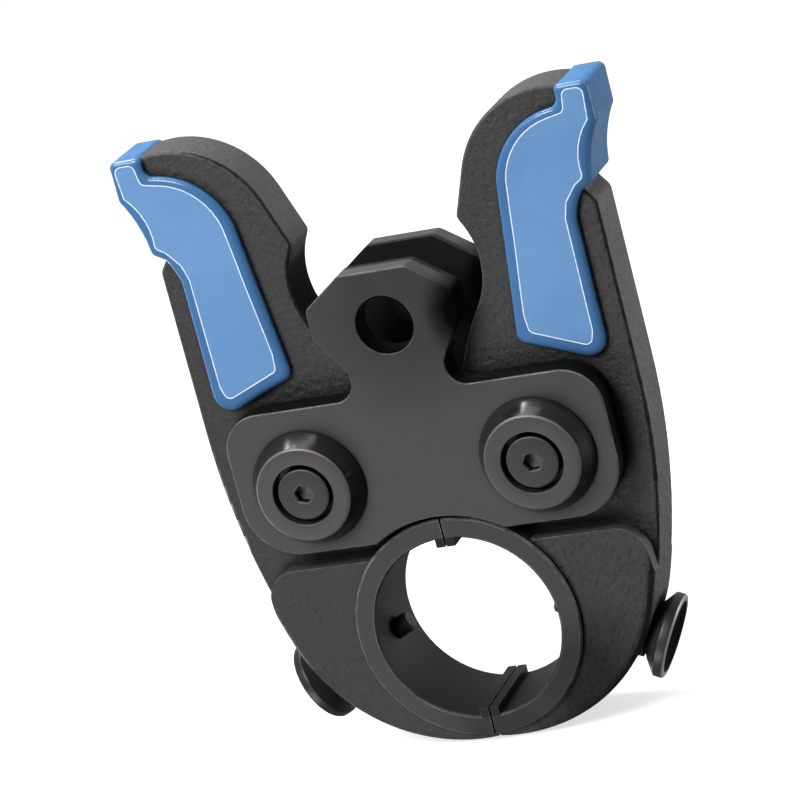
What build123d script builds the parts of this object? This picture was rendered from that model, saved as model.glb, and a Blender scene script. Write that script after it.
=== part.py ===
from build123d import *
import math
import os

# Jaw of a press tool: two side plates hang on the tool's pin and carry two arms that close a split ring.
# X runs to the right, Y away from the front and Z up towards the tails of the arms.
# The origin is the centre of the bore for the tool's pin, half way through the thickness.
# Every size is in millimetres. A pair of numbers is a point (X, Z) on the right-hand side.

# Side plates
PLATE_INNER = 8.0
PLATE_OUTER = 15.0
TOOL_PIN_R = 7.0
LUG_TOP = (8.7, 13.7)
LUG_CORNER = (18.9, 6.5)
LUG_HIP = (18.9, -0.8)
NECK = (12.3, -11.0)
NECK_R = 4.8
LUG_CORNER_R = 2.0
PLATE_SIDE = 48.7
SHOULDER_Z = -17.4
SHOULDER_R = 9.8
FOOT_Z = -54.6
FOOT_R = 13.6
PLATE_EDGE = 0.5

# Pivots of the arms, with their caps and screws
PIVOT = (29.58, -37.52)
PIVOT_R = 8.0
PIVOT_CLEARANCE = 0.05
CAP_BASE_R = 14.5
CAP_TOP_R = 11.8
CAP_HEIGHT = 5.5
CAP_LAND = 0.7
CAP_CHAMFER = 0.5
HEAD_R = 6.5
HEAD_HEIGHT = 3.2
HEAD_RECESS_R = 7.7
HEAD_RECESS = 3.5
SCREW_R = 3.0
SCREW_HOLE_R = 3.3
SCREW_LENGTH = 14.0
HEX_ACROSS = 4.0
HEX_DEPTH = 2.4

# Split ring that seats the dies
RING_Z = -79.65
SEAT_R = 23.54
RING_R = 28.82
RING_HALF = 13.0
RING_PARTING = 0.25
RING_CHAMFER = 0.5
LIP_HEIGHT = 2.1
LIP_WIDTH = 2.2
PLATE_RING_R = 30.0

# Arms
WEB_HALF = 7.0
JAW_HALF = 11.5
PIVOT_BOSS_HALF = 7.85
PIVOT_BOSS_R = 14.0
ARM_SIDE = 56.4
ARM_SHOULDER_Z = 19.5
FLANK_Z = -23.0
JAW_CENTRE = (4.9, -65.8)
JAW_R = 44.5
POCKET_R = 28.86
ARM_PARTING = 0.5
NOSE_Z = -46.5
SPRING_POCKET = (7.2, -43.5)
SPRING_POCKET_TOP = (7.2, -33.0)
LEG_REST = (9.8, -19.5)
CROTCH = (12.8, -17.2)
CROTCH_MID = (15.9, -10.0)
THROAT = (21.3, -0.8)
THROAT_MID = (24.3, 9.0)
THROAT_TOP = (22.6, 18.2)
ELBOW = (21.2, 21.0)
ELBOW_R = 1.8
RAMP_FOOT = (25.75, 33.2)
RAMP_CENTRE = (49.07, 23.99)
RAMP_R = 25.06
RAMP_END = 80.0
TIP = (57.4, 47.3)
TIP_STEP = (53.4, 46.9)
TIP_R = 2.0
TAIL_WAIST = (53.9, 22.8)
TAIL_WAIST_R = 3.0
JAW_TOP_Z = -59.8
JAW_SIDE = 49.3
JAW_TOP_R = 7.5
JAW_REAR_CENTRE = (4.9, -68.0)
JAW_REAR_R = 42.0
ARM_EDGE = 1.0
JAW_EDGE = 2.2

# Grip covers, clipped round the tips of the tails
COVER_HALF = 9.0
COVER_EDGE = 1.2
COVER_FIT = 0.05
COVER_FOOT_IN = (29.2, -11.0)
COVER_FOOT_IN_R = 2.5
COVER_FOOT_OUT = (51.0, -19.4)
COVER_FOOT_OUT_R = 4.5
COVER_CENTRE = (53.05, 23.9)
COVER_R = 19.84
COVER_ARC = (167.0, 94.0)
COVER_BEND_R = 5.0
COVER_STEP = (53.0, 45.2)
COVER_STEP_R = 1.4
COVER_TOP = (53.0, 48.9)
COVER_TIP = (61.4, 48.9)
COVER_TIP_R = 1.8
COVER_BUMP = (61.4, 38.9)
COVER_BUMP_R = 2.0
FINGER_NOTCH = (58.0, 31.4)
COVER_CUSP = (56.8, 24.6)
COVER_CUSP_R = 1.6
COVER_TUCK = (53.4, 22.6)
COVER_TUCK_MID = (52.1, 19.8)
COVER_WAIST = (51.0, 16.4)

# Locking pins, measured along their axis from the wall of the seat outwards
LOCK_SEAT = (23.4, -82.4)
LOCK_SLOPE = 25.5
LOCK_TRAVEL = 4.6
TIP_PIN_R = 2.6
TIP_PIN_HOLE_R = 2.65
TIP_CHAMFER = 0.6
COLLAR_START = 6.3
COLLAR_END = 8.2
COLLAR_R = 4.2
STEM_R = 2.15
STEM_HOLE_R = 2.22
STEM_END = 23.4
GUIDE_R = 5.5
GUIDE_START = 6.2
GUIDE_BORE_R = 4.4
GUIDE_BORE_END = 16.4
GUIDE_HEAD_R = 7.0
GUIDE_HEAD_START = 18.0
GUIDE_END = 19.8
SPOTFACE_R = 7.4
SPOTFACE_LENGTH = 8.0

# Pull knobs
KNOB_START = 20.5
KNOB_NECK_R = 6.4
KNOB_NECK_END = 20.9
KNOB_HUB_R = 7.2
KNOB_R = 10.7
KNOB_RIM_START = 23.5
KNOB_RIM_END = 26.0
KNOB_CHAMFER = 0.4
KNOB_LIP = 1.2
KNOB_DISH = 1.6

# Springs
LOCK_WIRE = 0.7
LOCK_COIL_R = 3.3
LOCK_TURNS = 3.5
CLOSING_WIRE = 1.6
CLOSING_COIL_R = 4.5
CLOSING_PITCH = 2.2
CLOSING_EXTRA_TURNS = 2
CLOSING_LEG = 20.0
LEG_TILT = 11.9
SPRING_POST_Z = -38.0
SPRING_POST_R = 3.0
SPRING_POST_HALF = 11.0
POST_HOLE_HALF = 11.3
QUARTER_TURN = math.pi / 2
LEAST_SPRING_GAP = 0.4


def slab(face, low, high):
    """Thickens a face drawn in X and Z from Y low to Y high."""
    return extrude(Plane.XZ.offset(-low) * face, amount=low - high)


def nearest(vertices, *points):
    """Picks the vertex nearest to each point."""
    return [vertices.sort_by_distance((x, z, 0))[0] for x, z in points]


def round_corners(face, corners):
    """Rounds each corner of a face drawn in X and Z, given as a point and a radius."""
    for point, radius in corners:
        face = fillet(nearest(face.vertices(), point), radius)
    return face


def both_sides(points):
    """Adds the mirror image of each point across the middle of the tool."""
    return list(points) + [(-x, z) for x, z in points]


def turned(profile):
    """Turns a closed profile of (radius, height) points about the Z axis."""
    face = make_face(Polyline(*profile, close=True))
    return revolve(Plane.XZ * face, axis=Axis.Z)


def mirrored(shape):
    """The same piece on the left-hand side."""
    return mirror(shape, about=Plane.YZ)


def rod(radius, low, high):
    """A round rod along the Z axis from low to high."""
    return Pos(0, 0, (low + high) / 2) * Cylinder(radius, high - low)


def across(x, z):
    """Places a piece turned about Z so that its axis runs along Y through the point (x, z)."""
    return Plane(origin=(x, 0, z), x_dir=(1, 0, 0), z_dir=(0, -1, 0))


def lock_axis():
    """Places a piece turned about Z on the axis of the right-hand locking pin."""
    slope = math.radians(LOCK_SLOPE)
    outwards = (math.cos(slope), 0, -math.sin(slope))
    return Plane(origin=(LOCK_SEAT[0], 0, LOCK_SEAT[1]), x_dir=(0, 1, 0), z_dir=outwards)


def side_plate():
    """Front side plate: a lug for the tool's pin on a wide body that carries both pivots."""
    right = [LUG_TOP, LUG_CORNER, LUG_HIP, NECK, (NECK[0], FOOT_Z)]
    left = [(-x, z) for x, z in reversed(right)]
    lug = make_face(Polyline(*right, *left, close=True))
    body = Pos(0, (SHOULDER_Z + FOOT_Z) / 2) * Rectangle(2 * PLATE_SIDE, SHOULDER_Z - FOOT_Z)
    corners = body.vertices().sort_by(Axis.Y)
    body = fillet(corners[2:], SHOULDER_R)
    body = fillet(body.vertices().sort_by(Axis.Y)[:2], FOOT_R)
    outline = body + lug
    outline = fillet(nearest(outline.vertices(), *both_sides([(NECK[0], SHOULDER_Z)])), NECK_R)
    outline = fillet(nearest(outline.vertices(), *both_sides([LUG_TOP, LUG_CORNER, LUG_HIP])), LUG_CORNER_R)
    outline -= Pos(0, RING_Z) * Circle(PLATE_RING_R)
    plate = slab(outline, -PLATE_OUTER, -PLATE_INNER)
    plate = fillet(plate.faces().sort_by(Axis.Y)[0].edges(), PLATE_EDGE)
    plate -= tool_pin_space()
    for x, z in both_sides([PIVOT]):
        plate -= across(x, z) * rod(PIVOT_R, 0, 2 * PLATE_OUTER)
    return plate - across(0, SPRING_POST_Z) * rod(SPRING_POST_R, 0, POST_HOLE_HALF)


def tool_pin_space():
    """Space of the tool's pin in the front lug, with a small chamfer at the outer face."""
    profile = [
        (0, 0),
        (TOOL_PIN_R, 0),
        (TOOL_PIN_R, PLATE_OUTER - PLATE_EDGE),
        (TOOL_PIN_R + PLATE_EDGE, PLATE_OUTER),
        (0, PLATE_OUTER),
    ]
    return across(0, 0) * turned(profile)


def pivot_pin():
    """Right-hand pivot pin, tapped at both ends."""
    pin = rod(PIVOT_R, -PLATE_OUTER, PLATE_OUTER)
    for low, high in ((-PLATE_OUTER, -PLATE_OUTER + SCREW_LENGTH), (PLATE_OUTER - SCREW_LENGTH, PLATE_OUTER)):
        pin -= rod(SCREW_R, low, high)
    return across(*PIVOT) * pin


def pivot_cap():
    """Front right-hand cap: a flat cone with a recess for the screw's head."""
    top = PLATE_OUTER + CAP_HEIGHT
    floor = top - HEAD_RECESS
    profile = [
        (SCREW_HOLE_R, PLATE_OUTER),
        (CAP_BASE_R, PLATE_OUTER),
        (CAP_BASE_R, PLATE_OUTER + CAP_LAND),
        (CAP_TOP_R + CAP_CHAMFER / 2, top - CAP_CHAMFER),
        (CAP_TOP_R - CAP_CHAMFER, top),
        (HEAD_RECESS_R + CAP_CHAMFER / 2, top),
        (HEAD_RECESS_R, top - CAP_CHAMFER / 2),
        (HEAD_RECESS_R, floor),
        (SCREW_HOLE_R, floor),
    ]
    return across(*PIVOT) * turned(profile)


def cap_screw():
    """Front right-hand screw: a low head with a hexagon socket on a plain shank."""
    seat = PLATE_OUTER + CAP_HEIGHT - HEAD_RECESS
    top = seat + HEAD_HEIGHT
    tip = seat - SCREW_LENGTH
    profile = [
        (0, tip),
        (SCREW_R, tip),
        (SCREW_R, seat),
        (HEAD_R, seat),
        (HEAD_R, top - CAP_CHAMFER),
        (HEAD_R - CAP_CHAMFER, top),
        (0, top),
    ]
    hexagon = RegularPolygon(HEX_ACROSS / 2, 6, major_radius=False)
    socket = Pos(0, 0, top - HEX_DEPTH) * extrude(hexagon, HEX_DEPTH)
    return across(*PIVOT) * (turned(profile) - socket)


def arm_outline():
    """Outline of the right-hand arm, from the shoulder down round the jaw and up to the tip."""
    reach = ARM_SIDE - JAW_CENTRE[0]
    drop = FLANK_Z - JAW_CENTRE[1]
    flank_r = (reach**2 + drop**2 - JAW_R**2) / (2 * (reach - JAW_R))
    flank_turn = -math.degrees(math.atan2(drop, flank_r - reach))
    jaw_end = -90 - math.degrees(math.asin((JAW_CENTRE[0] - ARM_PARTING) / JAW_R))
    side = Line((ARM_SIDE, ARM_SHOULDER_Z), (ARM_SIDE, FLANK_Z))
    flank = CenterArc((ARM_SIDE - flank_r, FLANK_Z), flank_r, 0, flank_turn)
    jaw = CenterArc(JAW_CENTRE, JAW_R, flank_turn, jaw_end - flank_turn)
    inside = Polyline(jaw @ 1, (ARM_PARTING, NOSE_Z), SPRING_POCKET, SPRING_POCKET_TOP, LEG_REST, CROTCH)
    crotch = ThreePointArc(CROTCH, CROTCH_MID, THROAT)
    throat = ThreePointArc(THROAT, THROAT_MID, THROAT_TOP)
    ramp_start = math.degrees(math.atan2(RAMP_FOOT[1] - RAMP_CENTRE[1], RAMP_FOOT[0] - RAMP_CENTRE[0]))
    ramp = CenterArc(RAMP_CENTRE, RAMP_R, ramp_start, RAMP_END - ramp_start)
    elbow = Polyline(THROAT_TOP, ELBOW, ramp @ 0)
    tip = Polyline(ramp @ 1, TIP, TAIL_WAIST, side @ 0)
    edges = [side, flank, jaw, inside, crotch, throat, elbow, ramp, tip]
    corners = [
        (ELBOW, ELBOW_R),
        (TIP, TIP_R),
        (TAIL_WAIST, TAIL_WAIST_R),
        ((ARM_SIDE, ARM_SHOULDER_Z), TAIL_WAIST_R),
    ]
    return round_corners(make_face(edges), corners)


def tip_step():
    """Space above the tip of the right-hand tail that its cover fills."""
    x, z = TIP_STEP
    corner = (Align.MIN, Align.CENTER, Align.MIN)
    return Pos(x, 0, z) * Box(COVER_HALF, 2 * COVER_HALF, COVER_HALF, align=corner)


def lock_bore():
    """Space for the locking pin and its guide in the right-hand arm and ring."""
    deep = rod(TIP_PIN_HOLE_R, -2 * LIP_WIDTH, GUIDE_START)
    wide = rod(GUIDE_R, GUIDE_START, GUIDE_HEAD_START)
    face = rod(SPOTFACE_R, GUIDE_HEAD_START, GUIDE_HEAD_START + SPOTFACE_LENGTH)
    return lock_axis() * (deep + wide + face)


def face_edges(solid, level, inside):
    """Edges of an arm that lie at Y level with their middle further out than X inside."""
    edges = solid.edges().filter_by(lambda edge: abs(edge.center().Y - level) < ARM_PARTING)
    return edges.filter_by(lambda edge: (edge @ 0.5).X > inside)


def jaw_pads(outline):
    """Thick pads of the right-hand jaw, in front and behind the web."""
    depth = JAW_TOP_Z - 2 * RING_Z
    window = Pos(JAW_SIDE / 2, JAW_TOP_Z - depth / 2) * Rectangle(JAW_SIDE, depth)
    window = fillet(nearest(window.vertices(), (JAW_SIDE, JAW_TOP_Z)), JAW_TOP_R)
    front = slab(outline & window, -JAW_HALF, WEB_HALF)
    front_edges = face_edges(front, -JAW_HALF, ARM_PARTING)
    outer = front_edges.filter_by(lambda edge: (edge @ 0.5).Z < RING_Z + JAW_TOP_R)
    front = fillet(outer, JAW_EDGE)
    disc = Pos(*JAW_REAR_CENTRE) * Circle(JAW_REAR_R)
    rear = slab(outline & window & disc, WEB_HALF, JAW_HALF)
    return front + fillet(face_edges(rear, JAW_HALF, ARM_PARTING), ARM_EDGE)


def jaw_arm():
    """Right-hand arm: a flat web with a thick jaw below, a pivot boss and the tail above."""
    outline = arm_outline()
    web = slab(outline, -WEB_HALF, WEB_HALF)
    rims = face_edges(web, -WEB_HALF, CROTCH[0]) + face_edges(web, WEB_HALF, CROTCH[0])
    arm = fillet(rims, ARM_EDGE) + jaw_pads(outline)
    arm += across(*PIVOT) * rod(PIVOT_BOSS_R, -PIVOT_BOSS_HALF, PIVOT_BOSS_HALF)
    arm -= across(*PIVOT) * rod(PIVOT_R + PIVOT_CLEARANCE, -PLATE_OUTER, PLATE_OUTER)
    arm -= across(0, RING_Z) * rod(POCKET_R, -PLATE_OUTER, PLATE_OUTER)
    return arm - tip_step() - lock_bore()


def die_seat():
    """Right-hand half of the split ring, with a lip inside each end."""
    ring = Circle(RING_R) - Circle(SEAT_R)
    lips = Rectangle(2 * (LIP_WIDTH + RING_PARTING), 2 * (SEAT_R + LIP_HEIGHT / 2))
    lips -= Rectangle(2 * RING_R, 2 * (SEAT_R - LIP_HEIGHT))
    half = Pos(RING_PARTING + RING_R / 2, 0) * Rectangle(RING_R, 2 * RING_R)
    seat = slab(Pos(0, RING_Z) * ((ring + lips) & half), -RING_HALF, RING_HALF)
    rims = seat.edges().filter_by(GeomType.CIRCLE).filter_by(lambda edge: edge.radius > SEAT_R - LIP_HEIGHT)
    return chamfer(rims, RING_CHAMFER) - lock_bore()


def cover_outline():
    """Outline of the right-hand grip cover."""
    start, end = COVER_ARC
    inner = CenterArc(COVER_CENTRE, COVER_R, start, end - start)
    rise = Polyline(COVER_FOOT_OUT, COVER_FOOT_IN, inner @ 0)
    tip = Polyline(inner @ 1, COVER_STEP, COVER_TOP, COVER_TIP, COVER_BUMP)
    notch = ThreePointArc(COVER_BUMP, FINGER_NOTCH, COVER_CUSP)
    tuck = Line(COVER_CUSP, COVER_TUCK)
    waist = ThreePointArc(COVER_TUCK, COVER_TUCK_MID, COVER_WAIST)
    side = Line(COVER_WAIST, COVER_FOOT_OUT)
    corners = [
        (COVER_FOOT_IN, COVER_FOOT_IN_R),
        (COVER_FOOT_OUT, COVER_FOOT_OUT_R),
        (tuple(inner @ 0)[:2], COVER_BEND_R),
        (tuple(inner @ 1)[:2], COVER_STEP_R),
        (COVER_STEP, COVER_STEP_R),
        (COVER_TOP, COVER_STEP_R),
        (COVER_TIP, COVER_TIP_R),
        (COVER_BUMP, COVER_BUMP_R),
        (COVER_CUSP, COVER_CUSP_R),
        (COVER_TUCK, COVER_BUMP_R),
        (COVER_WAIST, COVER_BEND_R),
    ]
    return round_corners(make_face([rise, inner, tip, notch, tuck, waist, side]), corners)


def grip_cover():
    """Right-hand grip cover: two thin cheeks joined round the tip of the tail."""
    cover = slab(cover_outline(), -COVER_HALF, COVER_HALF)
    cheeks = [cover.faces().sort_by(Axis.Y)[0], cover.faces().sort_by(Axis.Y)[-1]]
    cover = fillet([edge for cheek in cheeks for edge in cheek.edges()], COVER_EDGE)
    tail = slab(offset(arm_outline(), COVER_FIT), -WEB_HALF - COVER_FIT, WEB_HALF + COVER_FIT)
    return cover - (tail - Pos(COVER_FIT, 0, COVER_FIT) * tip_step())


def locking_pin():
    """Right-hand locking pin: a tip into the seat, a collar for the spring and a stem to the knob."""
    profile = [
        (0, -LOCK_TRAVEL),
        (TIP_PIN_R - TIP_CHAMFER, -LOCK_TRAVEL),
        (TIP_PIN_R, TIP_CHAMFER - LOCK_TRAVEL),
        (TIP_PIN_R, COLLAR_START),
        (COLLAR_R, COLLAR_START),
        (COLLAR_R, COLLAR_END),
        (STEM_R, COLLAR_END),
        (STEM_R, STEM_END),
        (0, STEM_END),
    ]
    return lock_axis() * turned(profile)


def lock_guide():
    """Right-hand guide: a bush that holds the spring and leads the stem."""
    profile = [
        (GUIDE_BORE_R, GUIDE_START),
        (GUIDE_R, GUIDE_START),
        (GUIDE_R, GUIDE_HEAD_START),
        (GUIDE_HEAD_R, GUIDE_HEAD_START),
        (GUIDE_HEAD_R, GUIDE_END),
        (STEM_HOLE_R, GUIDE_END),
        (STEM_HOLE_R, GUIDE_BORE_END),
        (GUIDE_BORE_R, GUIDE_BORE_END),
    ]
    return lock_axis() * turned(profile)


def pull_knob():
    """Right-hand knob: a flared disc with a dished face, blind-bored for the stem."""
    floor = KNOB_RIM_END - KNOB_DISH
    lip_r = KNOB_R - KNOB_CHAMFER - KNOB_LIP
    flare = Polyline(
        (0, STEM_END),
        (STEM_R, STEM_END),
        (STEM_R, KNOB_START),
        (KNOB_NECK_R, KNOB_START),
        (KNOB_HUB_R, KNOB_NECK_END),
        (KNOB_R, KNOB_RIM_START),
        (KNOB_R, KNOB_RIM_END - KNOB_CHAMFER),
        (KNOB_R - KNOB_CHAMFER, KNOB_RIM_END),
        (lip_r, KNOB_RIM_END),
    )
    dish_r = (lip_r**2 + KNOB_DISH**2) / (2 * KNOB_DISH)
    dish = CenterArc((0, floor + dish_r), dish_r, -90, math.degrees(math.asin(lip_r / dish_r)))
    back = Line(dish @ 0, (0, STEM_END))
    return lock_axis() * revolve(Plane.XZ * make_face([flare, dish, back]), axis=Axis.Z)


def helix_point(radius, pitch, angle):
    """Point of a helix about Z at an angle in radians."""
    return Vector(radius * math.cos(angle), radius * math.sin(angle), pitch * angle / math.tau)


def helix_tangent(radius, pitch, angle):
    """Direction of a helix about Z at an angle in radians."""
    return Vector(-radius * math.sin(angle), radius * math.cos(angle), pitch / math.tau).normalized()


def biarc(start, start_way, end, end_way):
    """Two tangent arcs from start to end that leave and arrive along the given directions."""
    chord = end - start
    ways = start_way + end_way
    bend = 2 * (1 - start_way.dot(end_way))
    along = chord.dot(ways)
    handle = (math.sqrt(along**2 + bend * chord.dot(chord)) - along) / bend
    first = start + start_way * handle
    last = end - end_way * handle
    middle = (first + last) * 0.5
    return [TangentArc(start, middle, tangent=start_way), TangentArc(middle, end, tangent=last - first)]


def coil(name, radius, pitch, wire, angles, ends):
    """A wire wound about Z between two angles, with a straight run at each end."""
    start, end = angles
    steps = math.ceil((end - start) / QUARTER_TURN)
    stops = [start + (end - start) * step / steps for step in range(steps + 1)]
    points = [helix_point(radius, pitch, angle) for angle in stops]
    ways = [helix_tangent(radius, pitch, angle) for angle in stops]
    edges = [Line(points[0] - ways[0] * ends, points[0])]
    for step in range(steps):
        edges += biarc(points[step], ways[step], points[step + 1], ways[step + 1])
    edges.append(Line(points[-1], points[-1] + ways[-1] * ends))
    path = Wire([edge for piece in edges for edge in piece.edges()])
    spring = sweep(Plane(origin=path @ 0, z_dir=ways[0]) * Circle(wire / 2), path=path)
    print_coil(name, path, radius, wire, spring.volume)
    return spring


def print_coil(name, path, radius, wire, volume):
    """Prints the least gap between the turns of a coil, and its volume against section times length."""
    count = math.ceil(path.length / (wire / 4))
    points = [path @ (step / count) for step in range(count + 1)]
    apart = math.ceil(math.pi * radius / (path.length / count))
    gap = min(
        (points[one] - points[other]).length
        for one in range(count + 1)
        for other in range(one + apart, count + 1)
    )
    ideal = math.pi * wire**2 / 4 * path.length
    print(name, "gap", round(gap - wire, 3), "over", LEAST_SPRING_GAP, "volume share", round(volume / ideal, 4))


def lock_spring():
    """Right-hand spring that pushes the locking pin inwards."""
    room = GUIDE_BORE_END - COLLAR_END
    pitch = (room - 2 * LOCK_WIRE) / LOCK_TURNS
    spring = coil("lock spring", LOCK_COIL_R, pitch, LOCK_WIRE, (0, math.tau * LOCK_TURNS), LOCK_WIRE)
    return lock_axis() * (Pos(0, 0, COLLAR_END + LOCK_WIRE) * spring)


def closing_spring():
    """Hairpin spring: a coil on the post, with a leg against the inside of each arm."""
    start = math.radians(LEG_TILT)
    sweep_angle = math.tau * CLOSING_EXTRA_TURNS + math.pi - 2 * start
    spring = coil(
        "closing spring",
        CLOSING_COIL_R,
        CLOSING_PITCH,
        CLOSING_WIRE,
        (start, start + sweep_angle),
        CLOSING_LEG,
    )
    middle = CLOSING_PITCH * (start + sweep_angle / 2) / math.tau
    place = Plane(origin=(0, 0, SPRING_POST_Z), x_dir=(1, 0, 0), z_dir=(0, 1, 0))
    return place * (Pos(0, 0, -middle) * spring)


def spring_post():
    """Dowel between the plates that carries the coil of the closing spring."""
    return across(0, SPRING_POST_Z) * rod(SPRING_POST_R, -SPRING_POST_HALF, SPRING_POST_HALF)


def pieces():
    """Every piece of the tool by its name."""
    front = side_plate()
    made = {
        "front_side_plate": front,
        "rear_side_plate": mirror(front, about=Plane.XZ),
        "closing_spring": closing_spring(),
        "spring_post": spring_post(),
    }
    right = {
        "jaw_arm": jaw_arm(),
        "die_seat": die_seat(),
        "grip_cover": grip_cover(),
        "pivot_pin": pivot_pin(),
        "locking_pin": locking_pin(),
        "lock_guide": lock_guide(),
        "lock_spring": lock_spring(),
        "pull_knob": pull_knob(),
        "front_pivot_cap": pivot_cap(),
        "front_cap_screw": cap_screw(),
        "rear_pivot_cap": mirror(pivot_cap(), about=Plane.XZ),
        "rear_cap_screw": mirror(cap_screw(), about=Plane.XZ),
    }
    for name, shape in right.items():
        made["right_" + name] = shape
        made["left_" + name] = mirrored(shape)
    return made


os.makedirs("parts", exist_ok=True)
for node, solid in pieces().items():
    export_step(solid, "parts/" + node + ".step")
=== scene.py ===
"""Dresses a press-tool jaw: its finishes, turned caps and knobs, springs, grip panels and studio."""

import functools
import logging
import math
from collections.abc import Callable, Sequence
from dataclasses import dataclass, field
from enum import Enum

import bmesh
import bpy
from mathutils import Euler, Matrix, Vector


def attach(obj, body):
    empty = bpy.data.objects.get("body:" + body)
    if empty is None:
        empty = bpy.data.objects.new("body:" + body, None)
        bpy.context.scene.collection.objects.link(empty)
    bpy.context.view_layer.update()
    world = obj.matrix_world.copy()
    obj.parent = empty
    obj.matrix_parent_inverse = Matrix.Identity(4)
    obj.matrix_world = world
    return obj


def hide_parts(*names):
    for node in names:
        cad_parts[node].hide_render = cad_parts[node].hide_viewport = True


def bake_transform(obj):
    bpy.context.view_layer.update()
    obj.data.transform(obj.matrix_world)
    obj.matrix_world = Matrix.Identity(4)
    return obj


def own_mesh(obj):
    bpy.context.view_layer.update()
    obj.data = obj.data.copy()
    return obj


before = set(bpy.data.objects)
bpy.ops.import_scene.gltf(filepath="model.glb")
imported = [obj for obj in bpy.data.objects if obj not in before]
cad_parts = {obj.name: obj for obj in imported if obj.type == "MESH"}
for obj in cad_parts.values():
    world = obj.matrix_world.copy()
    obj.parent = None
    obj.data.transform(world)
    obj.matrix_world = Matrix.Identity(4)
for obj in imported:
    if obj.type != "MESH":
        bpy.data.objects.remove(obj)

LOG = logging.getLogger("press_jaw")
MM = 0.001
MERGE_DISTANCE = 1e-7
SHARP_ANGLE = math.radians(32)
SPIN_SEED = 7
TONE = "tone"
AXIS = "axis"
POSITION = "position"
WHITE = (1.0, 1.0, 1.0)

# Right-hand pivot in X and Z, and height of the ring's axis, in millimetres
PIVOT = (29.58, -37.52)
RING_Z = -79.65

Colour = tuple[float, float, float]
Point2 = tuple[float, float]
Point3 = tuple[float, float, float]
# A place is a point and an axis; an arc is a centre, a radius and two angles in degrees.
Place = tuple[Point3, Point3]
Arc = tuple[Point2, float, float, float]
Joins = Sequence[tuple[int, ...]]
Node = bpy.types.Node
Socket = bpy.types.NodeSocket
Tree = bpy.types.NodeTree
Piece = bpy.types.Object
Material = bpy.types.Material
Value = Socket | float | str | tuple
Inputs = dict[str | int, Value]


class Side(Enum):
    """The two mirrored halves of the jaw, seen from the front."""

    LEFT = -1
    RIGHT = 1

    def node(self, name: str) -> str:
        """Full name of a piece on this side."""
        return f"{self.name.lower()}_{name}"

    def place(self, x: float, z: float) -> Point2:
        """A point given for the right-hand half, moved to this half."""
        return (self.value * x, z)


class Surface(Enum):
    """How a steel surface was last worked."""

    CAST = "cast"
    GROUND = "ground"
    TURNED = "turned"

    def grain_share(self) -> float:
        """How much of the change in tone comes from grain; the rest comes from oil patches."""
        return 0.75 if self is Surface.CAST else 0.45


def rgba(colour: Colour) -> tuple[float, float, float, float]:
    """A colour with full opacity."""
    return (*colour, 1.0)


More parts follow.
